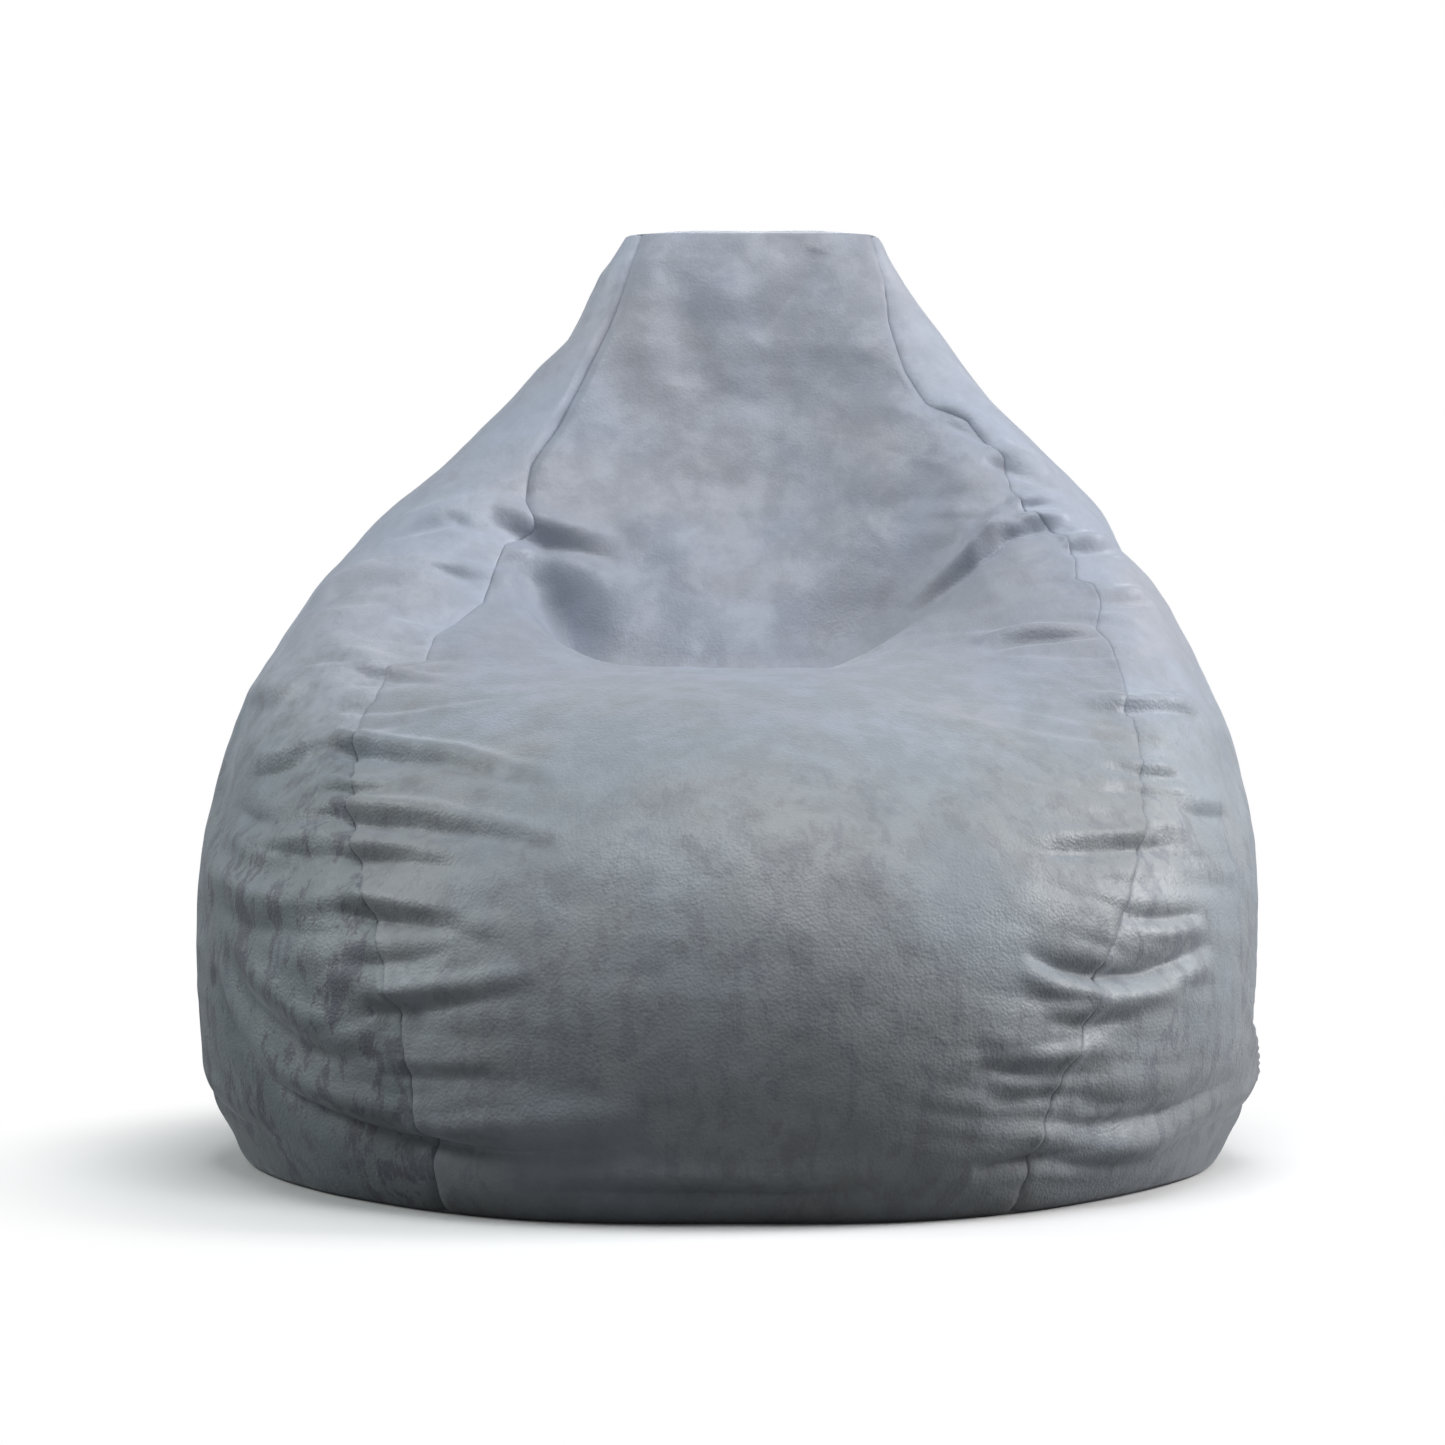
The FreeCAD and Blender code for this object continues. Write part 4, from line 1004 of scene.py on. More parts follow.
@dataclass(frozen=True)
class Finish:
    """A material with its own name; each kind of finish says how its surface is built."""

    name: str

    def material(self) -> bpy.types.Material:
        """Returns the material, made once."""
        if self.name in bpy.data.materials:
            return bpy.data.materials[self.name]
        made = bpy.data.materials.new(self.name)
        made.use_nodes = True
        made.node_tree.nodes.clear()
        nodes = Nodes(made.node_tree)
        shader = nodes.add("BsdfPrincipled")
        nodes.add("OutputMaterial", {"Surface": shader.outputs[0]})
        self.dress(nodes, shader)
        return made

    def dress(self, nodes: Nodes, shader: Node) -> None:
        """Builds the surface in the material's tree."""
        raise NotImplementedError

    def put_on(self, piece: Piece) -> None:
        """Gives a piece this finish in place of what it has."""
        piece.data.materials.clear()
        piece.data.materials.append(self.material())


def patterned(nodes: Nodes, group: bpy.types.NodeTree, coordinates: Coordinates,
              **values: float) -> Node:
    """Places a pattern group in a material.

    Args:
        nodes: The material's nodes.
        group: The group.
        coordinates: What the pattern follows.
        values: The group's inputs, with _ for a space.

    Returns:
        The group's node.
    """
    where = nodes.add("TexCoord").outputs[coordinates.value]
    node = nodes.add("Group", None, node_tree=group)
    given = {label.replace("_", " "): value for label, value in values.items()}
    return nodes.feed(node, {"Coordinates": where, **given})


@dataclass(frozen=True)
class Microsuede(Finish):
    """Grey-blue microsuede velvet whose nap clouds over where it is brushed the other way. Below the seat it
    is painted darker and tinted, as the shade there, and each panel's tone also holds painted light on the
    flanks.
    """

    tone: float = 1.0                # this panel's nap, lighter or darker, with the light on its side painted in
    low_nap_and_shade: float = 1.0            # the same below the seat, with the light and shade there painted in
    smudges: float = 0.30            # how strongly the nap is marked
    cool: Colour = (0.292, 0.324, 0.392)
    warm: Colour = (0.302, 0.318, 0.362)
    mark: Colour = (0.158, 0.162, 0.200)
    # the painted tint of the shade below the seat
    low_shade_tint: Colour = (0.985, 1.0, 0.925)

    def dress(self, nodes: Nodes, shader: Node) -> None:
        """Builds the surface in the material's tree."""
        clouds = patterned(nodes, nap_clouds(), Coordinates.OBJECT, Patch_Size=0.10)
        # Below a ragged height the panel is painted darker and tinted, as the shade below the seat; above it,
        # the panel's tone holds its nap and painted light on the flanks.
        height = nodes.add("SeparateXYZ", {0: nodes.add("TexCoord").outputs["Object"]}).outputs[2]
        ragged = nodes.maths("MULTIPLY_ADD", clouds.outputs["Mottle"], 0.07, height)
        high = nodes.ramp(ragged, 0.36, 0.50)
        tone = nodes.mix(clouds.outputs["Cloud"], self.cool, self.warm)
        nap = nodes.mix(high, scaled(self.low_shade_tint, self.low_nap_and_shade), scaled((1.0, 1.0, 1.0), self.tone))
        tone = nodes.mix(1.0, tone, nap, "MULTIPLY")
        light = nodes.ramp(clouds.outputs["Mottle"], 0.0, 1.0, 0.93, 1.07)
        lit = nodes.add("CombineColor", {0: light, 1: light, 2: light}).outputs[0]
        tone = nodes.mix(1.0, tone, lit, "MULTIPLY")
        worn = nodes.ramp(ragged, 0.32, 0.44, self.smudges, 0.12 * self.smudges)
        marks = nodes.maths("MULTIPLY", clouds.outputs["Marks"], worn)
        grain = patterned(nodes, pebble_grain(), Coordinates.OBJECT, Pitch=0.0027)
        worked = nodes.maths("MULTIPLY", grain.outputs["Height"], nodes.ramp(ragged, 0.42, 0.60, 1.0, 0.45))
        nodes.feed(shader, {
            "Base Color": nodes.mix(marks, tone, scaled(self.mark, self.low_nap_and_shade)),
            "Roughness": nodes.ramp(clouds.outputs["Mottle"], 0, 1, 0.62, 0.44),
            "Normal": nodes.bump(worked, 0.55, 0.0013),
            "Sheen Weight": 0.45,
            "Sheen Roughness": 0.32,
            "Sheen Tint": (0.86, 0.91, 1.0, 1.0),
            "Specular IOR Level": 0.50,
        })


def scaled(colour: Colour, share: float) -> Colour:
    """Returns a colour made lighter or darker."""
    return (colour[0] * share, colour[1] * share, colour[2] * share)


@dataclass(frozen=True)
class WovenCloth(Finish):
    """A plain woven cloth or tape."""

    colour: Colour = (0.1, 0.1, 0.1)
    pitch: float = 0.0006
    coordinates: Coordinates = Coordinates.OBJECT
    shine: float = 0.3

    def dress(self, nodes: Nodes, shader: Node) -> None:
        """Builds the surface in the material's tree."""
        weave = patterned(nodes, plain_weave(), self.coordinates, Pitch=self.pitch)
        clouds = patterned(nodes, nap_clouds(), Coordinates.OBJECT, Patch_Size=0.05)
        tone = nodes.mix(weave.outputs["Over"], scaled(self.colour, 0.82), scaled(self.colour, 1.1))
        soiled = nodes.maths("MULTIPLY", clouds.outputs["Mottle"], 0.25)
        polish = self.shine * 0.6
        nodes.feed(shader, {
            "Base Color": nodes.mix(soiled, tone, scaled(self.colour, 0.7)),
            "Roughness": nodes.ramp(clouds.outputs["Mottle"], 0, 1, 0.9 - polish, 0.98 - polish),
            "Normal": nodes.bump(weave.outputs["Height"], 0.5, self.pitch * 0.4),
            "Sheen Weight": 0.1,
        })


@dataclass(frozen=True)
class SewingThread(Finish):
    """Twisted polyester thread."""

    colour: Colour = (0.22, 0.25, 0.30)

    def dress(self, nodes: Nodes, shader: Node) -> None:
        """Builds the surface in the material's tree."""
        where = nodes.add("TexCoord").outputs["Object"]
        twist = nodes.add("TexWave", {"Vector": where, "Scale": 900.0, "Distortion": 2.0, "Detail": 1.0},
                          bands_direction="DIAGONAL")
        # The grooves of the twist are painted darker, as shade.
        nodes.feed(shader, {
            "Base Color": nodes.mix(twist.outputs[1], scaled(self.colour, 0.7), scaled(self.colour, 1.15)),
            "Roughness": nodes.ramp(twist.outputs[1], 0, 1, 0.5, 0.7),
            "Normal": nodes.bump(twist.outputs[1], 0.4, 0.0002),
        })


@dataclass(frozen=True)
class MouldedPlastic(Finish):
    """Moulded plastic with a fine spark-eroded texture and rubbed high spots."""

    colour: Colour = (0.05, 0.06, 0.07)
    roughness: float = 0.42

    def dress(self, nodes: Nodes, shader: Node) -> None:
        """Builds the surface in the material's tree."""
        where = nodes.add("TexCoord").outputs["Object"]
        grit = nodes.add("TexNoise", {"Vector": where, "Scale": 2200.0, "Detail": 3})
        flow = nodes.add("TexNoise", {"Vector": where, "Scale": 60.0, "Detail": 4, "Distortion": 0.4})
        streaks = nodes.ramp(flow.outputs[0], 0.3, 0.7)
        nodes.feed(shader, {
            "Base Color": nodes.mix(streaks, scaled(self.colour, 0.88), scaled(self.colour, 1.14)),
            "Roughness": nodes.ramp(flow.outputs[0], 0.3, 0.7, self.roughness - 0.07, self.roughness + 0.09),
            "Normal": nodes.bump(grit.outputs[0], 0.22, 0.00012),
        })


@dataclass(frozen=True)
class EnamelledZinc(Finish):
    """Die-cast zinc under coloured enamel, worn to bare metal in small spots."""

    colour: Colour = (0.075, 0.085, 0.100)

    def dress(self, nodes: Nodes, shader: Node) -> None:
        """Builds the surface in the material's tree."""
        where = nodes.add("TexCoord").outputs["Object"]
        wear = nodes.add("TexNoise", {"Vector": where, "Scale": 320.0, "Detail": 6, "Roughness": 0.7})
        bare = nodes.ramp(wear.outputs[0], 0.66, 0.74)
        nodes.feed(shader, {
            "Base Color": nodes.mix(bare, self.colour, (0.52, 0.53, 0.54)),
            "Metallic": nodes.ramp(wear.outputs[0], 0.66, 0.74, 0.15, 0.95),
            "Roughness": nodes.ramp(wear.outputs[0], 0.3, 0.7, 0.30, 0.42),
            "Normal": nodes.bump(wear.outputs[0], 0.12, 0.0001),
            "Coat Weight": 0.3,
        })


@dataclass(frozen=True)
class Beads(Finish):
    """Small white foam beads, packed together."""

    size: float = 0.004

    def dress(self, nodes: Nodes, shader: Node) -> None:
        """Builds the surface in the material's tree."""
        where = nodes.add("TexCoord").outputs["Object"]
        beads = nodes.add("TexVoronoi", {"Vector": where, "Scale": 1 / self.size, "Randomness": 0.8})
        # The gaps between the beads are painted darker, as shade.
        shade = nodes.ramp(beads.outputs["Distance"], 0.2, 0.75)
        nodes.feed(shader, {
            "Base Color": nodes.mix(shade, (0.86, 0.87, 0.87), (0.52, 0.53, 0.54)),
            "Roughness": nodes.ramp(beads.outputs["Distance"], 0, 1, 0.55, 0.85),
            "Normal": nodes.bump(beads.outputs["Distance"], 0.9, -self.size / 2),
        })


# ------------------------------------------------------------------------------------------ cover panels
@dataclass(frozen=True)
class PanelPattern:
    """One of the cover's upright panels: the lines it lies between and its own lie of the nap, with the light
    and shade on it painted in.
    """

    node: str
    start: float
    end: float
    suede: Microsuede


@dataclass
class CoverPanels:
    """The seven panels of the cover, with their edges turned under at the seams."""

    shape: CoverShape
    thickness: float = 0.0012
    seam_half_gap: float = 0.00025
    mesh_step: tuple[float, float] = (0.0062, 0.0030)       # across a panel and down it
    turn: tuple[tuple[float, float], ...] = (       # (in from the edge, below the outside) of the turned edge
        (0.0090, 0.0034), (0.0050, 0.0035), (0.0018, 0.0033), (0.0003, 0.0025), (0.0000, 0.0014),
        (0.0004, 0.0005))
    fine_steps: tuple[float, ...] = (0.0012, 0.0024, 0.0040, 0.0060, 0.0085)
    zip_turn_share: float = 0.69                    # the hem over the zip is turned flatter
    rim_turn: tuple[tuple[float, float], ...] = (   # (in from the edge, above it) of a round panel's rim
        (0.0016, 0.0), (0.0012, -0.0006), (0.0020, -0.0020), (0.0045, -0.0030), (0.0090, -0.0031))
    rim_lift: float = 0.0004
    rim_columns: int = 288
    cap_crown: float = 0.0085        # how high the cap's middle stands
    base_lift: float = -0.0012
    # Each panel's tones are its nap with painted light and shade: lighter on the flanks, darker below the
    # seat.
    patterns: tuple[PanelPattern, ...] = (
        PanelPattern("front_panel", FRONT_LEFT, FRONT_RIGHT, Microsuede("suede_front", 1.00, 0.97, 0.30)),
        PanelPattern("left_side_panel", BACK_LEFT, FRONT_LEFT,
                     Microsuede("suede_left", 1.22, 0.82, 0.85, low_shade_tint=(0.945, 1.0, 0.93))),
        PanelPattern("right_side_panel", FRONT_RIGHT, BACK_RIGHT,
                     Microsuede("suede_right", 1.20, 1.16, 0.48)),
        PanelPattern("back_left_panel", CENTRE_BACK, BACK_LEFT,
                     Microsuede("suede_back_left", 0.95, 0.86, 0.40)),
        PanelPattern("back_right_panel", BACK_RIGHT, ROUND, Microsuede("suede_back_right", 0.98, 0.92, 0.40)),
    )

    def build(self) -> None:
        for pattern in self.patterns:
            piece = self._upright(pattern)
            self._finish(piece, pattern.node, pattern.suede)
        self._finish(self._top_cap(), "top_cap_panel", Microsuede("suede_cap", 1.0, 1.0, 0.3))
        self._finish(self._base(), "base_panel", Microsuede("suede_base", 0.8, 0.8, 0.3))

    def _finish(self, piece: Piece, node: str, suede: Microsuede) -> None:
        """Thickens, dresses and declares one panel."""
        thicken(piece, self.thickness)
        suede.put_on(piece)
        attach(piece, BAG)
        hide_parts(node)
        log.info("%s: %d faces", piece.name, len(piece.data.polygons))

    def _edge_lines(self, length: float, step: float) -> tuple[Array, Array]:
        """Returns the lines across a panel, from one turned edge to the other.

        Args:
            length: The panel's width or height at its widest.
            step: The space between lines, about.

        Returns:
            Each line's place, as a share of the length and metres added to it, and its depth below the
            outside.
        """
        turned = np.array(self.turn)
        fine = np.array(self.fine_steps)
        inner = max(4, int((length - 2 * fine[-1]) / step))
        middle = np.linspace(0, 1, inner + 1)
        near = np.concatenate([turned[:, 0], fine[:-1]])
        shares = np.concatenate([np.zeros(len(near)), middle, np.ones(len(near))])
        metres = np.concatenate([near, fine[-1] * (1 - 2 * middle), -near[::-1]])
        level = np.zeros(2 * (len(fine) - 1) + len(middle))
        depths = np.concatenate([turned[:, 1], level, turned[::-1, 1]])
        return np.stack([shares, metres], axis=1), depths

    def _upright(self, pattern: PanelPattern) -> Piece:
        """Builds one upright panel.

        Args:
            pattern: The lines it lies between.

        Returns:
            The piece, with no thickness yet.
        """
        shape = self.shape
        spread = float(shape.metres_per_u.max()) * (pattern.end - pattern.start)
        drop = float(shape.metres_per_v.mean())
        across, across_depth = self._edge_lines(spread, self.mesh_step[0])
        down, down_depth = self._edge_lines(drop, self.mesh_step[1])

        def place(x: Array, y: Array) -> Array:
            i = np.rint(x * (len(across) - 1)).astype(int)
            j = np.rint(y * (len(down) - 1)).astype(int)
            rough_v = np.clip(down[j, 0], 0.0, 1.0)
            rough_u = pattern.start + (pattern.end - pattern.start) * across[i, 0]
            v = down[j, 0] + down[j, 1] / shape.scale_v(rough_u, rough_v)
            v = np.clip(v, 0.0, 1.0)
            start, end = self._edges(pattern, v)
            u = start + (end - start) * across[i, 0] + across[i, 1] / shape.scale_u(rough_u, v)
            depth = across_depth[i] * self._turn_share(pattern, across[i, 0], v) + down_depth[j]
            return shape.point(u, v, depth)

        return mapped_grid(pattern.node + "_cloth", len(across) - 1, len(down) - 1, place,
                           pattern=(spread, drop))

    def _edges(self, pattern: PanelPattern, v: Array) -> tuple[Array, Array]:
        """Returns u of a panel's two edges at each v, parted round the zip."""
        edges = []
        for line, way in ((pattern.start, 1.0), (pattern.end, -1.0)):
            gap = np.full_like(v, self.seam_half_gap)
            if line in (CENTRE_BACK, ROUND):
                open_here = self.shape.zip_opening.nearness(self.shape.height_on(line, v), 0.004)
                gap = gap + open_here * (self.shape.zip_opening.half_gap - self.seam_half_gap)
            edges.append(line + way * gap / self.shape.scale_u(np.full_like(v, line), v))
        return edges[0], edges[1]

    def _turn_share(self, pattern: PanelPattern, share: Array, v: Array) -> Array:
        """Returns how deep the turned edge goes, as a share of the usual."""
        line = np.where(share < 0.5, pattern.start, pattern.end)
        near = self.shape.zip_opening.nearness(self.shape.height_on(line, v), 0.01)
        at_zip = np.isin(line, (CENTRE_BACK, ROUND)) * near
        return 1 - at_zip * (1 - self.zip_turn_share)

    def _disc(self, name: str, v: float, rings: int, lift: Place, flip: bool) -> Piece:
        """Builds a round panel inside a ring of the cover.

        Args:
            name: The piece's name.
            v: The ring.
            rings: Faces from the centre to the edge.
            lift: Height added at u and at a share of the way out.
            flip: Whether the outside faces down.

        Returns:
            The piece, with no thickness yet.
        """
        shape = self.shape
        turned = np.array(self.rim_turn)
        way = -1.0 if flip else 1.0
        total_rows = rings + len(turned) - 1

        def place(x: Array, y: Array) -> Array:
            u = x * ROUND
            row = np.rint(y * total_rows).astype(int)
            share = np.minimum(row / rings, 1.0)
            edge = shape.sample(shape.grid, u, np.full_like(u, v))
            centre = shape.grid[:, 0 if v < 0.5 else -1].mean(0)
            spoke = edge - centre
            inward = -unit(spoke * np.array([1.0, 1.0, 0.0]))
            extra = turned[np.clip(row - rings, 0, len(turned) - 1)]
            point = centre + spoke * share[:, None] + inward * extra[:, :1]
            point[:, 2] += way * (extra[:, 1] + self.rim_lift) + lift(u, share) * (row <= rings)
            return point

        piece = mapped_grid(name, self.rim_columns, total_rows, place, closed=True, merge=1e-5)
        recalculate_normals(piece, facing=way)
        return piece

    def _top_cap(self) -> Piece:
        """Builds the cap, crowned by what is inside."""
        soft = self.shape.soft

        def lift(u: Array, share: Array) -> Array:
            x, y = share * np.cos(u * math.pi / 4), share * np.sin(u * math.pi / 4)
            crown = self.cap_crown * (1 - share**2.4)
            return crown + 0.0026 * (1 - share**4) * soft.at(x * 2.2 + 7, y * 2.2 + 3)

        return self._disc("top_cap_panel_cloth", 0.0, 22, lift, flip=False)

    def _base(self) -> Piece:
        """Builds the base, pressed flat on the floor."""
        lift = lambda u, share: np.full_like(u, self.base_lift)
        return self._disc("base_panel_cloth", 1.0, 60, lift, flip=True)


# ------------------------------------------------------------------------------------------ sewing
@dataclass
class Sewing:
    """Everything made with thread and tape: stitches, bound seams, the hems' topstitching and the label."""

    shape: CoverShape
    pitch: float = 0.0046
    stitch_length: float = 0.0031
    stitch_width: float = 0.00034
    binding_half_width: float = 0.011
    binding_depth: float = 0.0046
    tape_step: float = 0.006         # between a tape's rows
    end_v: float = 0.010

    def build(self) -> None:
        """Builds all of it."""
        opening = self.shape.zip_opening
        zip_top = self.shape.v_at(CENTRE_BACK, opening.top)
        zip_bottom = self.shape.v_at(CENTRE_BACK, opening.bottom)
        lines = {
            "front_left": (FRONT_LEFT, self.end_v, 1 - self.end_v),
            "front_right": (FRONT_RIGHT, self.end_v, 1 - self.end_v),
            "back_left": (BACK_LEFT, self.end_v, 1 - self.end_v),
            "back_right": (BACK_RIGHT, self.end_v, 1 - self.end_v),
            "centre_back_upper": (CENTRE_BACK, self.end_v, zip_top - 0.006),
            "centre_back_lower": (CENTRE_BACK, zip_bottom + 0.006, 1 - self.end_v),
        }
        for name, (line, v0, v1) in lines.items():
            self._stitches("seam_thread_" + name, *self._down(line, v0, v1), depth=0.0010)
            self._binding("seam_binding_" + name, line, v0, v1)
        for name, v in (("top_cap", 0.0), ("base", 1.0)):
            self._ring_binding("seam_binding_" + name, v)
        self._topstitching(zip_top, zip_bottom)
        self._label()

    def _down(self, line: float, v0: float, v1: float, aside: float = 0.0) -> tuple[Array, Array]:
        """Returns evenly spaced places down a line.

        Args:
            line: u of the line.
            v0: Where it starts.
            v1: Where it ends.
            aside: Metres that it lies to one side.

        Returns:
            u and v, one stitch apart.
        """
        v = np.linspace(v0, v1, 1500)
        u = line + aside / self.shape.scale_u(np.full_like(v, line), v)
        points = self.shape.point(u, v)
        run = np.concatenate([[0], np.cumsum(np.linalg.norm(np.diff(points, axis=0), axis=1))])
        at = np.arange(self.pitch / 2, run[-1], self.pitch)
        return np.interp(at, run, u), np.interp(at, run, v)

    def _stitches(self, node: str, u: Array, v: Array, depth: float, replaced: bool = True) -> None:
        """Sews one row of stitches.

        Args:
            node: The thread's name in the design.
            u: Where each stitch is.
            v: Where each stitch is.
            depth: How far the stitches lie below the cloth's outside.
            replaced: Whether it stands for the design's own node.
        """
        points, normals = self.shape.point(u, v, depth), self.shape.normal(u, v)
        heading = unit(np.gradient(points, axis=0))
        side = unit(np.cross(normals, heading))
        normals = np.cross(heading, side)
        bm = bmesh.new()
        for point, ahead, left, up in zip(points, heading, side, normals):
            axes = Matrix((ahead * self.stitch_length / 2, left * self.stitch_width, up * self.stitch_width))
            place = Matrix.Translation(point) @ axes.transposed().to_4x4()
            bmesh.ops.create_icosphere(bm, subdivisions=1, radius=1.0, matrix=place)
        bmesh.ops.recalc_face_normals(bm, faces=bm.faces)
        piece = finished_mesh(node + "_stitches", bm)
        SewingThread("sewing_thread").put_on(piece)
        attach(piece, BAG)
        if replaced:
            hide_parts(node)
        log.info("%s: %d stitches", node, len(points))

    def _binding(self, node: str, line: float, v0: float, v1: float) -> None:
        """Lays one seam's binding tape inside the cover."""
        shape = self.shape
        length = (v1 - v0) * DROP
        rows = max(8, int(length / self.tape_step))

        def place(x: Array, y: Array) -> Array:
            v = v0 + (v1 - v0) * y
            on_line = np.full_like(v, line)
            u = line + (x - 0.5) * 2 * self.binding_half_width / shape.scale_u(on_line, v)
            centre, normal = shape.sample(shape.grid, on_line, v), shape.normal(u, v)
            away = shape.sample(shape.grid, u, v)
            return 0.35 * centre + 0.65 * away + 0.35 * (away - centre) - normal * self.binding_depth

        piece = mapped_grid(node + "_tape", 6, rows, place,
                            pattern=(2 * self.binding_half_width, length))
        self._finish_tape(piece, node)

    def _ring_binding(self, node: str, v: float) -> None:
        """Lays the binding tape inside the cap's or the base's seam."""
        shape = self.shape
        inside = 0.020 if v < 0.5 else -0.020

        def place(x: Array, y: Array) -> Array:
            u = 0.01 + x * (ROUND - 0.02)
            at = v + inside * (0.4 + 0.9 * y)
            return shape.sample(shape.grid, u, at) - shape.normal(u, at) * (self.binding_depth + 0.001)

        piece = mapped_grid(node + "_tape", 320, 3, place, pattern=(2.0, 0.02))
        self._finish_tape(piece, node)

    def _finish_tape(self, piece: Piece, node: str) -> None:
        """Thickens, dresses and declares one binding tape."""
        thicken(piece, 0.0006)
        WovenCloth("binding_tape", colour=(0.085, 0.10, 0.125), pitch=0.0007,
                   coordinates=Coordinates.PATTERN).put_on(piece)
        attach(piece, BAG)
        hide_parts(node)

    def _topstitching(self, zip_top: float, zip_bottom: float) -> None:
        """Sews the hems down beside the zip and across its ends."""
        aside = self.shape.zip_opening.half_gap + 0.005
        rows = [self._down(CENTRE_BACK, zip_top, zip_bottom, side * aside) for side in (-1, 1)]
        for v in (zip_top - 0.004, zip_bottom + 0.004):
            across = np.arange(-aside, aside + 1e-6, self.pitch)
            rows.append((across / self.shape.scale_u(np.zeros(1), np.array([v])), np.full_like(across, v)))
        for number, (u, v) in enumerate(rows):
            self._stitches(f"zip_topstitching_{number + 1}", u % ROUND, v, depth=-0.0001, replaced=False)

    def _label(self) -> None:
        """Hangs the blank care label from the left back seam."""
        shape = self.shape
        width, length, middle = 0.030, 0.042, 0.140
        at = shape.v_at(BACK_LEFT, middle)
        where = np.array([BACK_LEFT]), np.array([at])
        scale_u, scale_v = float(shape.scale_u(*where)[0]), float(shape.scale_v(*where)[0])

        def place(x: Array, y: Array) -> Array:
            u = BACK_LEFT - (x * width - 0.003) / scale_u
            curl = 0.0011 + 0.0030 * x**2 * (1 + 0.5 * np.sin(y * 5.0)) + 0.0009 * np.sin(x * 7 + y * 3)
            tucked = 0.0015 * (1 - smooth_step(0.0, 0.2, x))
            depth = tucked - curl * smooth_step(0.0, 0.25, x)
            return shape.point(u, at + (y - 0.5) * length / scale_v, depth)

        piece = mapped_grid("care_label_satin", 24, 32, place, pattern=(width, length))
        thicken(piece, 0.0004)
        WovenCloth("label_satin", colour=(0.78, 0.78, 0.76), pitch=0.0003, coordinates=Coordinates.PATTERN,
                   shine=0.7).put_on(piece)
        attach(piece, BAG)
        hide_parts("care_label")


# ------------------------------------------------------------------------------------------ inside and zips
@dataclass
class Inside:
    """The liner and the beads, which keep clear of every fold of the cover."""

    shape: CoverShape
    liner_depth: float = 0.009
    fill_depth: float = 0.012

    def build(self) -> None:
        """Builds the liner and the beads."""
        cover = self.shape.grid[::2, ::2]
        calm = blurred(cover, 30)
        outward = self.shape.outward(calm)
        sunk = ((calm - cover) * outward).sum(2)
        for _ in range(3):
            sunk = np.maximum.reduce([np.roll(sunk, step, 0) for step in (-1, 0, 1)])
            sunk = np.maximum.reduce([np.roll(sunk, step, 1) for step in (-1, 0, 1)])
        clear = np.maximum(blurred(sunk, 6), 0.0)
        liner = self._bag("liner_bag_cloth", calm - outward * (clear + self.liner_depth)[..., None], 0.0095)
        thicken(liner, 0.0004)
        WovenCloth("liner_cloth", colour=(0.80, 0.80, 0.79), pitch=0.0008).put_on(liner)
        self._declare(liner, "liner_bag")
        beads = self._bag("bead_fill_beads", calm - outward * (clear + self.fill_depth)[..., None], 0.0150)
        Beads("foam_beads").put_on(beads)
        self._declare(beads, "bead_fill")

    def _bag(self, name: str, grid: Array, floor: float) -> Piece:
        """Builds a closed bag from a grid.

        Args:
            name: The piece's name.
            grid: Its points.
            floor: The lowest it reaches.

        Returns:
            The piece.
        """
        walls = grid[::2, ::2].copy()
        walls[..., 2] = np.clip(walls[..., 2], floor, self.shape.skin.height - floor)
        columns, rows = walls.shape[:2]
        ends = 10

        def place(x: Array, y: Array) -> Array:
            i = np.rint(x * columns).astype(int) % columns
            j = np.rint(y * (rows + 2 * ends - 1)).astype(int) - ends
            point = walls[i, np.clip(j, 0, rows - 1)]
            for end, past in ((0, np.clip(-j / ends, 0, 1)), (-1, np.clip((j - rows + 1) / ends, 0, 1))):
                centre = walls[:, end].mean(0)
                point = point + (centre - point) * past[:, None]
            return point

        piece = mapped_grid(name, columns, rows + 2 * ends - 1, place, closed=True, merge=1e-5)
        recalculate_normals(piece)
        return piece

    def _declare(self, piece: Piece, node: str) -> None:
        """Declares a stuffed piece that stands for a node."""
        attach(piece, BAG)
        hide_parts(node)
        log.info("%s: %d faces", piece.name, len(piece.data.polygons))


@dataclass(frozen=True)
class Zips:
    """The two zips, which keep the design's own shapes."""

    finishes: tuple[tuple[Finish, tuple[str, ...]], ...] = (
        (WovenCloth("zip_tape", colour=(0.060, 0.072, 0.090), pitch=0.0008),
         ("zip_tape_left", "zip_tape_right")),
        (MouldedPlastic("zip_teeth", colour=(0.050, 0.058, 0.070)),
         ("zip_teeth_left", "zip_teeth_right", "zip_top_stops", "zip_bottom_stops")),
        (EnamelledZinc("zip_metal"), ("zip_slider", "zip_pull_tab")),
        (WovenCloth("liner_zip_tape", colour=(0.74, 0.74, 0.73), pitch=0.0008),
         ("liner_zip_tape_front", "liner_zip_tape_rear")),
        (MouldedPlastic("liner_zip_plastic", colour=(0.72, 0.72, 0.71)),
         ("liner_zip_teeth_front", "liner_zip_teeth_rear", "liner_zip_start_stops", "liner_zip_end_stops",
          "liner_zip_slider")),
    )

    def dress(self) -> None:
        """Gives every zip part its finish."""
        for finish, nodes in self.finishes:
            for node in nodes:
                finish.put_on(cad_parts[node])


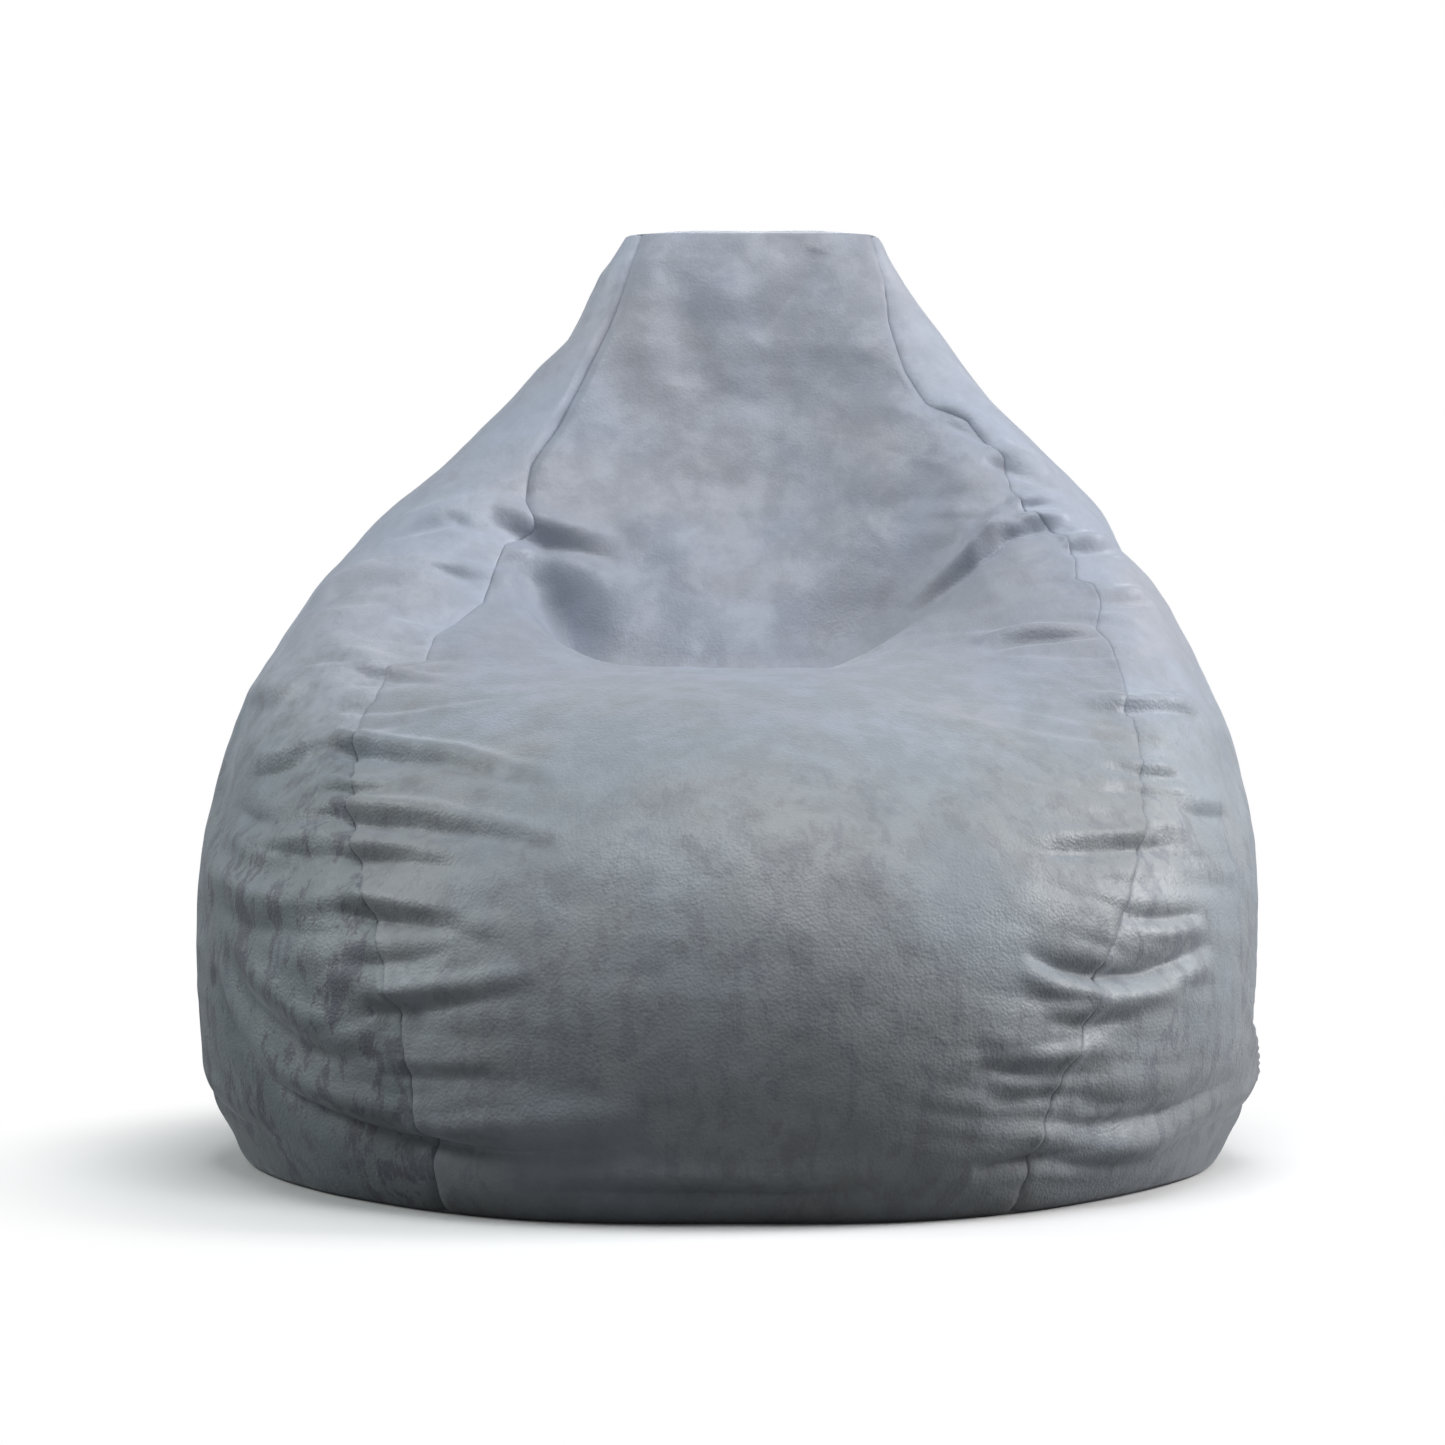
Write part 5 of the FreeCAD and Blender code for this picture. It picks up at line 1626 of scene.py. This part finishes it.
# ------------------------------------------------------------------------------------------ studio
@dataclass(frozen=True)
class SoftLight:
    """A square softbox aimed at the bag."""

    name: str
    place: Point
    aim: Point
    size: tuple[float, float]
    watts: float
    colour: Colour = (1.0, 1.0, 1.0)

    def build(self) -> None:
        """Hangs the light."""
        data = bpy.data.lights.new(self.name, "AREA")
        data.shape = "RECTANGLE"
        data.size, data.size_y = self.size
        data.energy = self.watts
        data.color = self.colour
        lamp = bpy.data.objects.new(self.name, data)
        lamp.location = self.place
        lamp.rotation_euler = (Vector(self.aim) - Vector(self.place)).to_track_quat("-Z", "Y").to_euler()
        bpy.context.scene.collection.objects.link(lamp)


@dataclass(frozen=True)
class Studio:
    """The camera, the pale floor and the soft light."""

    camera_place: Point = (-0.0076, -3.0, 0.372)
    lens: float = 83.5
    shift_up: float = 0.0135
    floor_size: float = 60.0
    ambient: float = 0.165
    lights: tuple[SoftLight, ...] = (
        SoftLight("overhead", (0.20, -1.05, 2.5), (0.05, 0.0, 0.35), (1.9, 1.3), 40.0, (0.95, 0.975, 1.0)),
        SoftLight("right", (2.7, -0.15, 1.75), (0.1, 0.1, 0.45), (1.0, 1.4), 66.0, (1.0, 0.985, 0.975)),
        SoftLight("left", (-2.6, -0.1, 1.8), (-0.1, 0.0, 0.4), (1.0, 1.4), 28.0, (0.94, 1.0, 0.98)),
        SoftLight("behind", (0.2, 2.5, 2.2), (0.0, 0.1, 0.4), (1.8, 1.2), 20.0, (0.96, 0.98, 1.0)),
    )

    def build(self) -> None:
        """Sets the stage up."""
        self._camera()
        self._floor()
        self._sky()
        for light in self.lights:
            light.build()
        bpy.context.scene.view_settings.view_transform = "Standard"

    def _camera(self) -> None:
        """Places the camera, level and straight on."""
        data = bpy.data.cameras.new("camera")
        data.lens = self.lens
        data.sensor_width = 36.0
        data.shift_y = self.shift_up
        camera = bpy.data.objects.new("camera", data)
        camera.location = self.camera_place
        camera.rotation_euler = (math.pi / 2, 0.0, 0.0)
        bpy.context.scene.collection.objects.link(camera)
        bpy.context.scene.camera = camera

    def _floor(self) -> None:
        """Lays the floor, which looks white and throws little light back."""
        bm = bmesh.new()
        bmesh.ops.create_grid(bm, x_segments=1, y_segments=1, size=self.floor_size / 2)
        floor = finished_mesh("floor", bm, smooth=False)
        material = bpy.data.materials.new("white_floor")
        material.use_nodes = True
        nodes = Nodes(material.node_tree)
        shader = material.node_tree.nodes["Principled BSDF"]
        seen = nodes.add("LightPath").outputs["Is Camera Ray"]
        nodes.feed(shader, {
            "Base Color": nodes.mix(seen, (0.20, 0.20, 0.20), (0.95, 0.95, 0.95)),
            "Roughness": 0.9,
            "Specular IOR Level": 0.1,
        })
        where = nodes.add("TexCoord").outputs["Object"]
        away = nodes.add("VectorMath", {0: where}, operation="LENGTH").outputs[1]
        far = nodes.maths("MULTIPLY", nodes.ramp(away, 0.50, 0.74), seen)
        white = nodes.add("Emission", {"Color": (1.0, 1.0, 1.0, 1.0), "Strength": 1.0})
        surface = nodes.add("MixShader", {0: far, 1: shader.outputs[0], 2: white.outputs[0]})
        nodes.feed(material.node_tree.nodes["Material Output"], {"Surface": surface.outputs[0]})
        floor.data.materials.append(material)
        floor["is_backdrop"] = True

    def _sky(self) -> None:
        """Makes the surroundings white to look at and dim to light with."""
        world = bpy.data.worlds.new("surroundings")
        bpy.context.scene.world = world
        world.use_nodes = True
        world.node_tree.nodes.clear()
        nodes = Nodes(world.node_tree)
        seen = nodes.add("LightPath").outputs["Is Camera Ray"]
        strength = nodes.ramp(seen, 0, 1, self.ambient, 1.0)
        glow = nodes.add("Background", {"Color": (1.0, 1.0, 1.0, 1.0), "Strength": strength})
        nodes.add("OutputWorld", {"Surface": glow.outputs[0]})


def write_sizes() -> None:
    """Works out the design's box and the finished model's as plain lists, and keeps neither."""
    boxes = {"cad": CAD_BOUNDS, "visual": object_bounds()}
    {name: [list(corner) for corner in box] for name, box in boxes.items()}


def main() -> None:
    """Builds the studio, the cover, its sewing, its inside and its zips."""
    logging.basicConfig(level=logging.INFO, format="%(name)s: %(message)s")
    Studio().build()
    shape = CoverShape(Skin(), ZipOpening())
    shape.drape()
    CoverPanels(shape).build()
    Sewing(shape).build()
    Inside(shape).build()
    Zips().dress()
    write_sizes()


if __name__ == "__main__":
    main()
